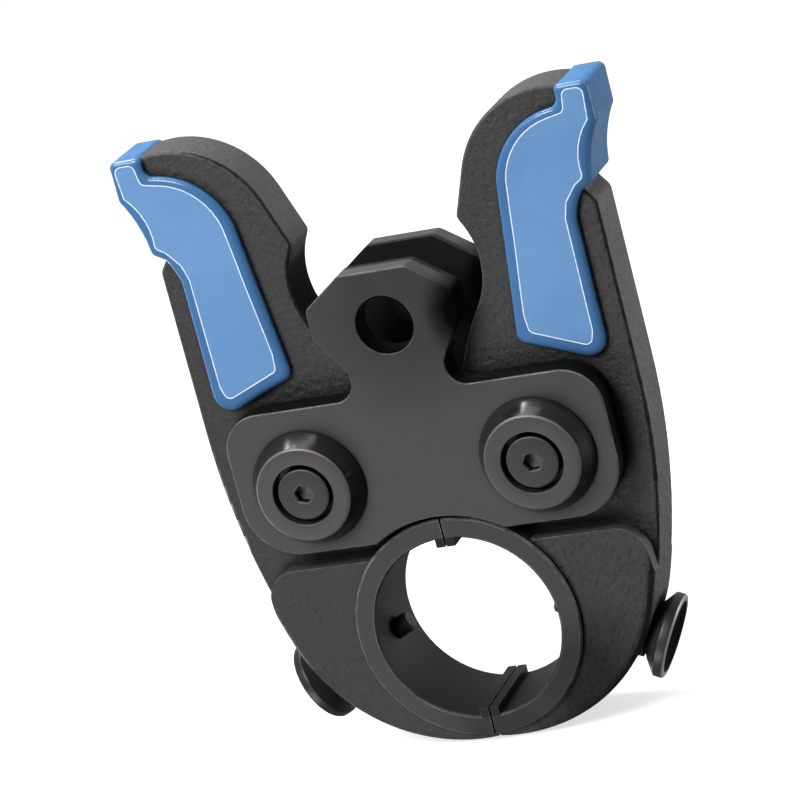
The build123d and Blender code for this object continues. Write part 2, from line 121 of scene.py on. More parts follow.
class Wiring:
    """Adds nodes to a node tree and links them."""

    def __init__(self, tree: Tree) -> None:
        """Takes the tree that the nodes go into."""
        self.tree = tree

    def add(self, kind: str, inputs: Inputs | None = None, **settings: object) -> Node:
        """Adds a node.

        Args:
            kind: The node's type name.
            inputs: Plain values, or outputs of other nodes, by input name or number.
            settings: Properties of the node.

        Returns:
            The new node.
        """
        node = self.tree.nodes.new(kind)
        for name, value in settings.items():
            setattr(node, name, value)
        for key, value in (inputs or {}).items():
            self.feed(node.inputs[key], value)
        return node

    def feed(self, socket: Socket, value: Value) -> None:
        """Links an output of another node to an input, or sets the input's own value.

        Args:
            socket: The input.
            value: The output or the plain value.
        """
        if isinstance(value, Socket):
            self.tree.links.new(value, socket)
        else:
            socket.default_value = value

    def out(self, kind: str, inputs: Inputs | None = None, **settings: object) -> Socket:
        """Adds a node and gives its first output."""
        return self.add(kind, inputs, **settings).outputs[0]

    def math(self, operation: str, *values: Value, clamp: bool = False) -> Socket:
        """The result of a Math node."""
        return self.out("ShaderNodeMath", dict(enumerate(values)), operation=operation, use_clamp=clamp)

    def plus(self, first: Value, second: Value) -> Socket:
        """The sum of two values."""
        return self.math("ADD", first, second)

    def minus(self, first: Value, second: Value) -> Socket:
        """The difference of two values."""
        return self.math("SUBTRACT", first, second)

    def times(self, first: Value, second: Value) -> Socket:
        """The product of two values."""
        return self.math("MULTIPLY", first, second)

    def over(self, first: Value, second: Value) -> Socket:
        """One value divided by another."""
        return self.math("DIVIDE", first, second)

    def largest(self, first: Value, second: Value) -> Socket:
        """The larger of two values."""
        return self.math("MAXIMUM", first, second)

    def unsigned(self, value: Value) -> Socket:
        """A value without its sign."""
        return self.math("ABSOLUTE", value)

    def reach(self, across: Value, up: Value) -> Socket:
        """The distance of a point from an axis, from its distances across and up."""
        return self.math("SQRT", self.plus(self.math("POWER", across, 2.0), self.math("POWER", up, 2.0)))

    def span(
        self, value: Value, low: float, high: float, to_low: float = 0.0, to_high: float = 1.0
    ) -> Socket:
        """A value carried from one range to another and held inside it."""
        inputs = {"Value": value, "From Min": low, "From Max": high, "To Min": to_low, "To Max": to_high}
        return self.out("ShaderNodeMapRange", inputs)

    def mix(self, share: Value, first: Value, second: Value) -> Socket:
        """A mix of two colours, which are inputs 6 and 7 and output 2 of a Mix node."""
        return self.add("ShaderNodeMix", {0: share, 6: first, 7: second}, data_type="RGBA").outputs[2]

    def layered(self, masks: list[tuple[Socket, Value]]) -> Socket:
        """The largest of several masks, each given with its strength."""
        return functools.reduce(self.largest, [self.times(mask, strength) for mask, strength in masks])

    def split(self, vector: Value) -> list[Socket]:
        """The X, Y and Z of a vector."""
        return list(self.add("ShaderNodeSeparateXYZ", {0: vector}).outputs)

    def vector(self, x: Value = 0.0, y: Value = 0.0, z: Value = 0.0) -> Socket:
        """A vector made of X, Y and Z."""
        return self.out("ShaderNodeCombineXYZ", {0: x, 1: y, 2: z})

    def normal(self) -> Socket:
        """The direction in which the surface looks."""
        return self.add("ShaderNodeNewGeometry").outputs["Normal"]

    def noise(self, place: Value, scale: Value, **values: float) -> Socket:
        """Noise over the surface."""
        return self.out("ShaderNodeTexNoise", {"Vector": place, "Scale": scale, **values})

    def cloud(
        self, place: Value, scale: Value, band: Point2, to: Point2 = (0.0, 1.0), **values: float
    ) -> Socket:
        """Noise over the surface, with one band of its range stretched out."""
        return self.span(self.noise(place, scale, **values), *band, *to)


class MaterialWiring(Wiring):
    """The nodes of a material, with the position on the piece that wears it."""

    def __init__(self, tree: Tree) -> None:
        """Takes the material's tree."""
        super().__init__(tree)
        self.place = self.add("ShaderNodeTexCoord").outputs["Object"]


class EffectGroup(Wiring):
    """A shader node group with named inputs and outputs, built once.

    Each pair of numbers in an effect is a range that a value is read from or carried to.
    """

    name: str
    takes: tuple[str, ...]
    gives: tuple[str, ...]

    def __init__(self) -> None:
        """Builds the group: the position is a vector, and all else is a number."""
        super().__init__(bpy.data.node_groups.new(self.name, "ShaderNodeTree"))
        for name in self.takes:
            kind = "NodeSocketVector" if name == POSITION else "NodeSocketFloat"
            self.tree.interface.new_socket(name, in_out="INPUT", socket_type=kind)
        for name in self.gives:
            self.tree.interface.new_socket(name, in_out="OUTPUT", socket_type="NodeSocketFloat")
        self.given: list[Socket] = list(self.add("NodeGroupInput").outputs)[: len(self.takes)]
        self.add("NodeGroupOutput", dict(zip(self.gives, self.draw())))

    def draw(self) -> list[Socket]:
        """Adds the effect's own nodes and gives its outputs in order."""
        raise NotImplementedError

    def use(self, net: MaterialWiring, **values: Value) -> dict[str, Socket]:
        """Places the group in a material.

        Args:
            net: The material's nodes, which give the position.
            values: The other inputs by name.

        Returns:
            The group's outputs by name.
        """
        if POSITION in self.takes:
            values[POSITION] = net.place
        return dict(net.add("ShaderNodeGroup", values, node_tree=self.tree).outputs.items())


class GrainEffect(EffectGroup):
    """Fine grain with small pits, as on blasted or ground steel."""

    name = "grain"
    takes = (POSITION, "scale", "pits")
    gives = ("height", "speckle")
    pit_scale = 0.4
    pit_slope = (0.05, 0.4)
    speckle_scale = 2.3
    speckle_band = (0.38, 0.68)

    def draw(self) -> list[Socket]:
        """Draws noise for the grain, cells for the pits and a finer noise for the speckle.

        Returns:
            The height and the speckle.
        """
        place, scale, pits = self.given
        coarse = self.times(scale, self.pit_scale)
        cells = self.add("ShaderNodeTexVoronoi", {"Vector": place, "Scale": coarse})
        pit = self.span(cells.outputs["Distance"], *self.pit_slope, -1.0, 0.0)
        height = self.plus(self.noise(place, scale, Detail=4.0, Roughness=0.62), self.times(pit, pits))
        speckle = self.cloud(place, self.times(scale, self.speckle_scale), self.speckle_band, Detail=1.0)
        return [height, speckle]


class SmudgeEffect(EffectGroup):
    """Broad uneven patches from oil and handling."""

    name = "smudges"
    takes = (POSITION, "scale")
    gives = ("patch",)
    band = (0.32, 0.68)

    def draw(self) -> list[Socket]:
        """One warped noise, stretched to the full range."""
        return [self.cloud(*self.given, self.band, Detail=5.0, Roughness=0.55, Distortion=0.6)]


class EdgeWearEffect(EffectGroup):
    """Where the coating has rubbed off along edges."""

    name = "edge_wear"
    takes = (POSITION, "radius", "breakup")
    gives = ("mask",)
    samples = 6
    turned = (0.995, 0.93)
    kept = (0.34, 0.58)

    def draw(self) -> list[Socket]:
        """Draws the turn of the surface within a small radius, broken up by noise.

        Returns:
            The mask.
        """
        place, radius, breakup = self.given
        rounded = self.out("ShaderNodeBevel", {"Radius": radius}, samples=self.samples)
        turn = self.add("ShaderNodeVectorMath", {0: rounded, 1: self.normal()}, operation="DOT_PRODUCT")
        edge = self.span(turn.outputs["Value"], *self.turned)
        return [self.times(edge, self.cloud(place, breakup, self.kept, Detail=3.0, Roughness=0.6))]


class TurnedEffect(EffectGroup):
    """Rings left by a lathe about an axis along Y, mirrored on both sides."""

    name = "turned_rings"
    takes = (POSITION, "centre_x", "centre_z", "rings")
    gives = ("height",)

    def draw(self) -> list[Socket]:
        """Draws noise along the distance from the axis.

        Returns:
            The height.
        """
        place, centre_x, centre_z, rings = self.given
        x, _, z = self.split(place)
        radius = self.reach(self.minus(self.unsigned(x), centre_x), self.minus(z, centre_z))
        inputs = {"W": self.times(radius, rings), "Scale": 1.0, "Detail": 2.0}
        return [self.out("ShaderNodeTexNoise", inputs, noise_dimensions="1D")]


class CutFaceEffect(EffectGroup):
    """Faces round the outline of a flat piece, which look across the Y axis, and how high they lie."""

    name = "cut_faces"
    takes = (POSITION, "breakup", "facing", "from_z")
    gives = ("mask", "face", "above")
    fade = 0.35
    rise = 0.006
    mottle = (0.3, 0.7)
    mottled = (0.45, 1.0)

    def draw(self) -> list[Socket]:
        """Draws how far the surface turns away from Y, and its height.

        Returns:
            The faces mottled by noise, the plain faces, and what lies above the given height.
        """
        place, breakup, facing, from_z = self.given
        _, along, _ = self.split(self.normal())
        _, _, height = self.split(place)
        face = self.span(self.minus(facing, self.unsigned(along)), 0.0, self.fade)
        mottled = self.cloud(place, breakup, self.mottle, self.mottled, Detail=4.0, Roughness=0.7)
        above = self.span(self.minus(height, from_z), 0.0, self.rise)
        return [self.times(face, mottled), face, above]


class RimEffect(EffectGroup):
    """Rounded or bevelled rims between faces along Y and the sides."""

    name = "rims"
    takes = (POSITION, "breakup")
    gives = ("rubbed", "grime", "rim")
    inner = (0.98, 0.88)
    outer = (0.25, 0.5)
    right = (0.1, 0.3)
    kept = (0.38, 0.6)
    keep = (0.15, 1.0)

    def draw(self) -> list[Socket]:
        """Draws the surfaces that lean between Y and the sides.

        Returns:
            The rims broken up by noise, those that lean to the right as a mask of painted shade, and all
            rims.
        """
        place, breakup = self.given
        across, along, _ = self.split(self.normal())
        facing = self.unsigned(along)
        rim = self.times(self.span(facing, *self.inner), self.span(facing, *self.outer))
        kept = self.cloud(place, breakup, self.kept, self.keep, Detail=4.0, Roughness=0.65)
        # Rims that lean to the right take painted shade.
        return [self.times(rim, kept), self.times(rim, self.span(across, *self.right)), rim]


class BoreShadeEffect(EffectGroup):
    """Painted shade inside a bore along Y, and on faces that look at the gap between the plates."""

    name = "bore_grease"
    takes = (POSITION, "centre_z", "bore", "bore_fade", "gap", "gap_fade")
    gives = ("inside", "between")

    def draw(self) -> list[Socket]:
        """Draws the distance from the bore's axis and from the middle plane, each with a soft edge.

        Returns:
            What lies in the bore, and what lies at the gap, as masks of painted shade.
        """
        place, centre_z, bore, bore_fade, gap, gap_fade = self.given
        x, y, z = self.split(place)
        outside = self.over(self.minus(self.reach(x, self.minus(z, centre_z)), bore), bore_fade)
        beyond = self.over(self.minus(self.unsigned(y), gap), gap_fade)
        return [self.math("SUBTRACT", 1.0, share, clamp=True) for share in (outside, beyond)]


class ShadePatchEffect(EffectGroup):
    """A soft patch of painted shade round one place, seen along Y."""

    name = "oil_stain"
    takes = (POSITION, "centre_x", "centre_z", "radius")
    gives = ("mask",)
    noise_scale = 130.0
    noise_band = (0.3, 0.7)
    ragged = (-0.06, 0.06)
    core = 0.35

    def draw(self) -> list[Socket]:
        """Draws the distance from the middle of the patch, its edge blurred by noise.

        Returns:
            The mask.
        """
        place, centre_x, centre_z, radius = self.given
        x, _, z = self.split(place)
        share = self.over(self.reach(self.minus(x, centre_x), self.minus(z, centre_z)), radius)
        ragged = self.cloud(place, self.noise_scale, self.noise_band, self.ragged, Detail=3.0)
        return [self.span(self.plus(share, ragged), self.core, 1.0, 1.0, 0.0)]


class CornerShadeEffect(EffectGroup):
    """Painted shade in corners and gaps, from ambient occlusion."""

    name = "crevices"
    takes = ("reach",)
    gives = ("mask",)
    samples = 6
    seen = (0.25, 0.84)

    def draw(self) -> list[Socket]:
        """How much of the surroundings a point cannot see within reach, as a mask of painted shade."""
        seen = self.add("ShaderNodeAmbientOcclusion", {"Distance": self.given[0]}, samples=self.samples)
        return [self.span(seen.outputs["AO"], *self.seen, 1.0, 0.0)]


GRAIN = GrainEffect()
SMUDGES = SmudgeEffect()
EDGE_WEAR = EdgeWearEffect()
TURNED_RINGS = TurnedEffect()
CUT_FACES = CutFaceEffect()
RIMS = RimEffect()
BORE_SHADE = BoreShadeEffect()
SHADE_PATCH = ShadePatchEffect()
CORNER_SHADE = CornerShadeEffect()


@dataclass(frozen=True, kw_only=True)
class Finish:
    """A procedural material, built once; lengths are in metres."""

    name: str

    def material(self) -> Material:
        """The finish's material, built the first time."""
        return bpy.data.materials.get(f"finish_{self.name}") or self.build()

    def build(self) -> Material:
        """Makes the material and feeds its shader.

        Returns:
            The new material.
        """
        material = bpy.data.materials.new(f"finish_{self.name}")
        material.use_nodes = True
        net = MaterialWiring(material.node_tree)
        shader = net.tree.nodes["Principled BSDF"]
        for socket, value in self.draw(net).items():
            net.feed(shader.inputs[socket], value)
        return material

    def draw(self, net: MaterialWiring) -> dict[str, Value]:
        """Adds the finish's own nodes and gives what feeds each input of the shader."""
        raise NotImplementedError


@dataclass(frozen=True, kw_only=True)
class SteelFinish(Finish):
    """Blackened steel with grain, oil patches, worn edges, and painted shade in its corners."""

    surface: Surface
    dark: Colour
    light: Colour
    worn: Colour
    roughness: Point2
    metallic: float
    grain_scale: float
    grain_depth: float
    pits: float
    wear: float
    wear_radius: float
    reach: float = 0.0016
    centre: Point2 = (0.0, 0.0)
    rings: float = 0.0
    polish: float = 0.0
    toned: bool = False
    # The colour that painted shade darkens a surface to, and the stored tones that take painted shade.
    shade_colour: Colour = (0.006, 0.006, 0.006)
    shade_tones: Point2 = (-0.8, -1.0)
    patch_scale: float = 55.0
    wear_breakup: float = 420.0
    bump: float = 0.8
    ring_grain: float = 0.35

    def coat(self, net: MaterialWiring, tone: Socket) -> Socket:
        """The colour of the sound coating."""
        return net.mix(tone, rgba(self.dark), rgba(self.light))

    def bare(self, net: MaterialWiring) -> Socket:
        """Where the coating is rubbed off."""
        wear = EDGE_WEAR.use(net, radius=self.wear_radius, breakup=self.wear_breakup)
        return net.times(wear["mask"], self.wear)

    def painted_shade(self, net: MaterialWiring) -> Socket:
        """Painted shade in corners and gaps."""
        return CORNER_SHADE.use(net, reach=self.reach)["mask"]

    def height(self, net: MaterialWiring, grain: Socket) -> Socket:
        """The relief of the surface.

        Args:
            net: The material's nodes.
            grain: The height of the grain.

        Returns:
            The height, with lathe rings on a turned surface.
        """
        if self.surface is not Surface.TURNED:
            return grain
        x, z = self.centre
        rings = TURNED_RINGS.use(net, centre_x=x, centre_z=z, rings=self.rings)
        return net.plus(net.times(grain, self.ring_grain), rings["height"])

    def draw(self, net: MaterialWiring) -> dict[str, Value]:
        """Draws the steel; a toned piece stores how bare (to 1), partly as painted highlight, or darkened as
        painted shade (to -1) its faces are.

        Args:
            net: The material's nodes.

        Returns:
            What feeds each input of the shader.
        """
        grain = GRAIN.use(net, scale=self.grain_scale, pits=self.pits)
        patch = SMUDGES.use(net, scale=self.patch_scale)["patch"]
        share = self.surface.grain_share()
        tone = net.plus(net.times(patch, 1.0 - share), net.times(grain["speckle"], share))
        gloss = net.span(tone, 0.0, 1.0, *self.roughness)
        bare = self.bare(net)
        painted_shade = self.painted_shade(net)
        # Painted shade darkens the colour towards the shade colour, and also roughens the surface.
        black = painted_shade
        # A positive tone bares the surface, partly as painted highlight; a negative tone adds painted shade.
        if self.toned:
            tint = net.add("ShaderNodeAttribute", attribute_name=TONE).outputs["Fac"]
            bare = net.largest(bare, tint)
            painted_shade = net.times(painted_shade, net.span(tint, 0.0, 1.0, 1.0, 0.0))
            painted_shade = net.largest(painted_shade, net.span(tint, *self.shade_tones))
            black = net.largest(painted_shade, net.times(tint, -1.0))
            gloss = net.minus(gloss, net.times(black, self.polish))
        clean = net.mix(bare, self.coat(net, tone), rgba(self.worn))
        height = self.height(net, grain["height"])
        relief = {"Strength": self.bump, "Distance": self.grain_depth, "Height": height}
        return {
            "Base Color": net.mix(black, clean, rgba(self.shade_colour)),
            "Roughness": net.largest(gloss, painted_shade),
            "Metallic": net.largest(painted_shade, self.metallic),
            "Normal": net.out("ShaderNodeBump", relief),
        }


@dataclass(frozen=True)
class ShadePatch:
    """A soft patch of painted shade: its middle, its radius, how dark it is and whether only cut faces show
    it.
    """

    x: float
    z: float
    radius: float
    strength: float
    on_cut: bool = False


@dataclass(frozen=True, kw_only=True)
class BodyFinish(SteelFinish):
    """Steel of a large piece, with bare rims and cut faces, and painted shade in its corners, on rims, on low
    cut faces, in its bore, at the gap and in patches.
    """

    rim: float
    # Painted shade on rims that lean to the right.
    grime: float = 0.0
    cut: Colour | None = None
    cut_from: float = 0.0
    # Painted shadow on cut faces below cut_from.
    low_cut_shade: float = 0.0
    # Painted shade in the bore and on faces at the gap between the plates.
    bore: Point2 | None = None
    bore_grease: float = 1.0
    gap: float = 0.0
    gap_shade: float = 0.0
    # Patches of painted shade.
    shade_patches: tuple[ShadePatch, ...] = ()
    rim_breakup: float = 260.0
    cut_breakup: float = 900.0
    cut_facing: float = 0.55
    bore_fade: float = 0.0003
    gap_fade: float = 0.0018

    def rims(self, net: MaterialWiring) -> dict[str, Socket]:
        """The rims of the piece."""
        return RIMS.use(net, breakup=self.rim_breakup)

    def faces(self, net: MaterialWiring) -> dict[str, Socket]:
        """The cut faces of the piece."""
        values = {"breakup": self.cut_breakup, "facing": self.cut_facing, "from_z": self.cut_from}
        return CUT_FACES.use(net, **values)

    def coat(self, net: MaterialWiring, tone: Socket) -> Socket:
        """The colour of the sound coating and of the cut faces.

        Args:
            net: The material's nodes.
            tone: How light the coating is.

        Returns:
            The colour.
        """
        coat = super().coat(net, tone)
        if self.cut is None:
            return coat
        return net.mix(self.faces(net)["mask"], coat, rgba(self.cut))

    def bare(self, net: MaterialWiring) -> Socket:
        """Where the coating is rubbed off, along edges and rims."""
        rubbed = net.times(self.rims(net)["rubbed"], self.rim)
        return net.largest(super().bare(net), rubbed)

    def painted_shade(self, net: MaterialWiring) -> Socket:
        """Painted shade in corners, on rims that lean right, on low cut faces, in the bore, at the gap and in
        patches.

        Args:
            net: The material's nodes.

        Returns:
            The mask.
        """
        masks = [(super().painted_shade(net), 1.0)]
        faces = self.faces(net)
        if self.grime:
            masks.append((self.rims(net)["grime"], self.grime))
        # Cut faces below a height are darkened as painted shadow.
        if self.low_cut_shade:
            masks.append((faces["face"], net.span(faces["above"], 0.0, 1.0, self.low_cut_shade, 0.0)))
        # The bore and the gap take painted shade.
        if self.bore:
            centre, radius = self.bore
            fades = {"bore_fade": self.bore_fade, "gap_fade": self.gap_fade}
            recess_shade = BORE_SHADE.use(net, centre_z=centre, bore=radius, gap=self.gap, **fades)
            masks += [(recess_shade["inside"], self.bore_grease), (recess_shade["between"], self.gap_shade)]
        # Each patch is painted shade.
        for dark_patch in self.shade_patches:
            patch_shade = SHADE_PATCH.use(net, centre_x=dark_patch.x, centre_z=dark_patch.z, radius=dark_patch.radius)["mask"]
            masks.append((net.times(patch_shade, faces["face"]) if dark_patch.on_cut else patch_shade, dark_patch.strength))
        return net.layered(masks)


@dataclass(frozen=True, kw_only=True)
class GripFinish(Finish):
    """Blue plastic with a fine texture and scuffed edges, of another shade on its sides."""

    deep: Colour
    light: Colour
    body: Colour
    scuffed: Colour
    roughness: Point2
    sheen: float = 0.5
    rolled: float = 0.0
    roll_samples: int = 8
    film: float = 1.0
    film_roughness: float = 0.2
    texture_scale: float = 2600.0
    texture_depth: float = 0.00002
    texture_bump: float = 0.6
    pits: float = 0.1
    patch_scale: float = 40.0
    wear: float = 0.35
    wear_radius: float = 0.0004
    wear_breakup: float = 500.0
    side_breakup: float = 300.0
    side_facing: float = 0.96

    def draw(self, net: MaterialWiring) -> dict[str, Value]:
        """Draws the plastic; a rolled edge is softened and has a glossy film.

        Args:
            net: The material's nodes.

        Returns:
            What feeds each input of the shader.
        """
        grain = GRAIN.use(net, scale=self.texture_scale, pits=self.pits)
        patch = SMUDGES.use(net, scale=self.patch_scale)["patch"]
        wear = EDGE_WEAR.use(net, radius=self.wear_radius, breakup=self.wear_breakup)
        side = CUT_FACES.use(net, breakup=self.side_breakup, facing=self.side_facing)["mask"]
        cheek = net.mix(patch, rgba(self.deep), rgba(self.light))
        sound = net.mix(side, cheek, rgba(self.body))
        relief = {"Strength": self.texture_bump, "Distance": self.texture_depth, "Height": grain["height"]}
        fed = {
            "Base Color": net.mix(net.times(wear["mask"], self.wear), sound, rgba(self.scuffed)),
            "Roughness": net.span(grain["speckle"], 0.0, 1.0, *self.roughness),
            "Specular IOR Level": self.sheen,
        }
        if self.rolled:
            soft = net.add("ShaderNodeBevel", {"Radius": self.rolled}, samples=self.roll_samples)
            relief["Normal"] = soft.outputs[0]
            fed["Coat Weight"] = net.times(RIMS.use(net)["rim"], self.film)
            fed["Coat Roughness"] = self.film_roughness
        fed["Normal"] = net.out("ShaderNodeBump", relief)
        return fed


@dataclass(frozen=True, kw_only=True)
class PrintFinish(Finish):
    """Pale pad-printed ink, slightly thin in places."""

    thin: Colour = (0.36, 0.52, 0.72)
    full: Colour = (0.64, 0.73, 0.83)
    scale: float = 900.0
    cover: Point2 = (0.3, 0.5)
    roughness: Point2 = (0.4, 0.6)

    def draw(self, net: MaterialWiring) -> dict[str, Value]:
        """Draws the ink.

        Args:
            net: The material's nodes.

        Returns:
            What feeds each input of the shader.
        """
        grain = GRAIN.use(net, scale=self.scale, pits=0.0)
        cover = net.span(grain["height"], *self.cover)
        return {
            "Base Color": net.mix(cover, rgba(self.thin), rgba(self.full)),
            "Roughness": net.span(grain["speckle"], 0.0, 1.0, *self.roughness),
        }


@dataclass(frozen=True, kw_only=True)
class FloorFinish(Finish):
    """Matt white studio floor with a trace of mottling."""

    low: Colour = (0.52, 0.52, 0.52)
    high: Colour = (0.55, 0.55, 0.55)
    scale: float = 3.0
    roughness: float = 0.9
    glow: float = 0.66

    def draw(self, net: MaterialWiring) -> dict[str, Value]:
        """Draws the floor.

        Args:
            net: The material's nodes.

        Returns:
            What feeds each input of the shader.
        """
        patch = SMUDGES.use(net, scale=self.scale)["patch"]
        return {
            "Base Color": net.mix(patch, rgba(self.low), rgba(self.high)),
            "Roughness": self.roughness,
            "Emission Color": rgba(WHITE),
            "Emission Strength": self.glow,
        }


# Painted shade: corners, black cut faces below the shoulders, the bore, the gap between the plates, and
# patches round the lug.
PLATE_STEEL = BodyFinish(
    name="plate_steel", surface=Surface.GROUND, dark=(0.024, 0.0235, 0.0235), light=(0.039, 0.0385, 0.038),
    worn=(0.26, 0.25, 0.24), roughness=(0.50, 0.60), metallic=0.1, grain_scale=2400.0, grain_depth=0.000012,
    pits=0.05, wear=0.7, wear_radius=0.0003, reach=0.0034, rim=0.45, cut=(0.13, 0.128, 0.127),
    cut_from=-0.009, low_cut_shade=0.94, bore=(0.0, 0.0072), gap=0.0095, gap_shade=0.8,
    shade_patches=(ShadePatch(0.0225, 0.0005, 0.0185, 1.0), ShadePatch(0.004, 0.004, 0.034, 0.4)),
)
# Painted shade: corners, rims that lean right, low cut faces, a patch on the right jaw, and two patches on
# cut faces either side of the lug.
ARM_CASTING = BodyFinish(
    name="arm_casting", surface=Surface.CAST, dark=(0.007, 0.0069, 0.0067), light=(0.034, 0.0331, 0.0324),
    worn=(0.20, 0.19, 0.18), roughness=(0.48, 0.70), metallic=0.1, grain_scale=760.0, grain_depth=0.0005,
    pits=0.35, wear=0.5, wear_radius=0.0005, reach=0.0045, rim=0.22, grime=0.68, cut=(0.084, 0.082, 0.080),
    cut_from=0.012, low_cut_shade=0.12,
    shade_patches=(
        ShadePatch(0.025, -0.096, 0.025, 0.66),
        *[ShadePatch(side.value * 0.0235, 0.0085, 0.018, 0.85, on_cut=True) for side in Side],
    ),
)
# Painted shade: corners, the ring's bore, and patches low on the ring.
SEAT_STEEL = BodyFinish(
    name="seat_steel", surface=Surface.TURNED, dark=(0.016, 0.0157, 0.0153), light=(0.0255, 0.0248, 0.0242),
    worn=(0.34, 0.33, 0.32), roughness=(0.50, 0.60), metallic=0.15, grain_scale=2000.0, grain_depth=0.000012,
    pits=0.05, wear=0.7, wear_radius=0.0003, centre=(0.0, RING_Z * MM), rings=2600.0, rim=0.35,
    bore=(RING_Z * MM, 0.0237), bore_grease=0.62,
    shade_patches=(ShadePatch(0.024, -0.098, 0.024, 0.52), ShadePatch(0.004, -0.108, 0.022, 0.5)),
)
# The stored tone darkens the cone as painted shade and lightens the face's rim, partly as a painted
# highlight.
CAP_STEEL = SteelFinish(
    name="cap_steel", surface=Surface.TURNED, dark=(0.033, 0.030, 0.028), light=(0.049, 0.045, 0.0425),
    worn=(0.42, 0.40, 0.38), roughness=(0.40, 0.52), metallic=0.25, grain_scale=2200.0, grain_depth=0.000012,
    pits=0.05, wear=0.8, wear_radius=0.00022, centre=(PIVOT[0] * MM, PIVOT[1] * MM), rings=3200.0,
    polish=0.43, toned=True,
)
# Painted shade in corners; the stored tone lightens the head's rim, partly as a painted highlight, and the
# socket's floor as painted light.
FASTENER_STEEL = SteelFinish(
    name="fastener_steel", surface=Surface.GROUND, dark=(0.012, 0.0117, 0.0117),
    light=(0.024, 0.0235, 0.0233), worn=(0.36, 0.35, 0.34), roughness=(0.44, 0.56), metallic=0.2,
    grain_scale=2600.0, grain_depth=0.00002, pits=0.2, wear=0.8, wear_radius=0.00022, reach=0.004, toned=True,
)
LOCK_STEEL = SteelFinish(
    name="lock_steel", surface=Surface.GROUND, dark=(0.008, 0.008, 0.008), light=(0.016, 0.016, 0.016),
    worn=(0.12, 0.118, 0.115), roughness=(0.48, 0.60), metallic=0.2, grain_scale=2600.0, grain_depth=0.00002,
    pits=0.2, wear=0.4, wear_radius=0.00022,
)
PIN_STEEL = SteelFinish(
    name="pin_steel", surface=Surface.GROUND, dark=(0.24, 0.24, 0.25), light=(0.34, 0.34, 0.35),
    worn=(0.5, 0.5, 0.5), roughness=(0.24, 0.34), metallic=0.9, grain_scale=3000.0, grain_depth=0.000006,
    pits=0.02, wear=0.3, wear_radius=0.0002,
)
SPRING_STEEL = SteelFinish(
    name="spring_steel", surface=Surface.GROUND, dark=(0.10, 0.10, 0.11), light=(0.17, 0.17, 0.18),
    worn=(0.4, 0.4, 0.4), roughness=(0.30, 0.42), metallic=0.8, grain_scale=2600.0, grain_depth=0.000008,
    pits=0.05, wear=0.2, wear_radius=0.0001,
)
# The stored tone darkens the dish as painted shade.
KNOB_STEEL = SteelFinish(
    name="knob_steel", surface=Surface.GROUND, dark=(0.022, 0.022, 0.022), light=(0.036, 0.036, 0.035),
    worn=(0.5, 0.49, 0.47), roughness=(0.34, 0.46), metallic=0.4, grain_scale=2400.0, grain_depth=0.000012,
    pits=0.05, wear=0.2, wear_radius=0.0003, toned=True,
)
GRIP_BLUE = GripFinish(
    name="grip_blue", deep=(0.044, 0.124, 0.275), light=(0.055, 0.145, 0.315), body=(0.080, 0.232, 0.485),
    scuffed=(0.16, 0.33, 0.56), roughness=(0.30, 0.40), sheen=0.05, rolled=0.0032,
)
PANEL_BLUE = GripFinish(
    name="panel_blue", deep=(0.084, 0.205, 0.418), light=(0.105, 0.241, 0.474), body=(0.084, 0.205, 0.418),
    scuffed=(0.20, 0.40, 0.64), roughness=(0.62, 0.76),
)
BORDER_INK = PrintFinish(name="border_ink")
FLOOR_WHITE = FloorFinish(name="floor")


def dress(node: str, finish: Finish) -> None:
    """Gives a solid of the frame its finish."""
    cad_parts[node].material_slots[0].material = finish.material()
    LOG.info("dressed %s", node)


def install(piece: Piece, body: str, nodes: list[str]) -> None:
    """Lets a piece ride on a body in place of solids.

    Args:
        piece: The finished piece.
        body: The body that carries it.
        nodes: The solids that it stands for.
    """
    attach(piece, body)
    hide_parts(*nodes)
    LOG.info("built %s", piece.name)


def linked(name: str, data: bpy.types.ID) -> Piece:
    """Makes an object and links it to the scene.

    Args:
        name: Name of the object.
        data: The mesh, light or camera that it holds.

    Returns:
        The object, at the origin.
    """
    made = bpy.data.objects.new(name, data)
    bpy.context.scene.collection.objects.link(made)
    return made


def mesh_object(name: str, points: list[Point3], edges: Joins = (), faces: Joins = ()) -> Piece:
    """Makes a linked mesh object at the origin.

    Args:
        name: Name of the object and its mesh.
        points: The mesh's points.
        edges: Pairs of point numbers.
        faces: Point numbers of each face.

    Returns:
        The object.
    """
    mesh = bpy.data.meshes.new(name)
    mesh.from_pydata(points, edges, faces)
    return linked(name, mesh)


def path_object(name: str, points: list[Point3], closed: bool = False) -> Piece:
    """Makes a mesh object with one chain of edges.

    Args:
        name: Name of the object.
        points: The points in order.
        closed: Whether the last point is joined to the first.

    Returns:
        The object.
    """
    edges = [(one, one + 1) for one in range(len(points) - 1)]
    if closed:
        edges.append((len(points) - 1, 0))
    return mesh_object(name, points, edges)


def outward(mesh: bpy.types.Mesh) -> None:
    """Merges doubled points of a mesh, turns its faces outwards and smooths all but its sharp edges.

    Args:
        mesh: The mesh, which is changed.
    """
    work = bmesh.new()
    work.from_mesh(mesh)
    bmesh.ops.remove_doubles(work, verts=work.verts, dist=MERGE_DISTANCE)
    bmesh.ops.recalc_face_normals(work, faces=work.faces)
    for face in work.faces:
        face.smooth = True
    work.to_mesh(mesh)
    work.free()
    mesh.set_sharp_from_angle(angle=SHARP_ANGLE)


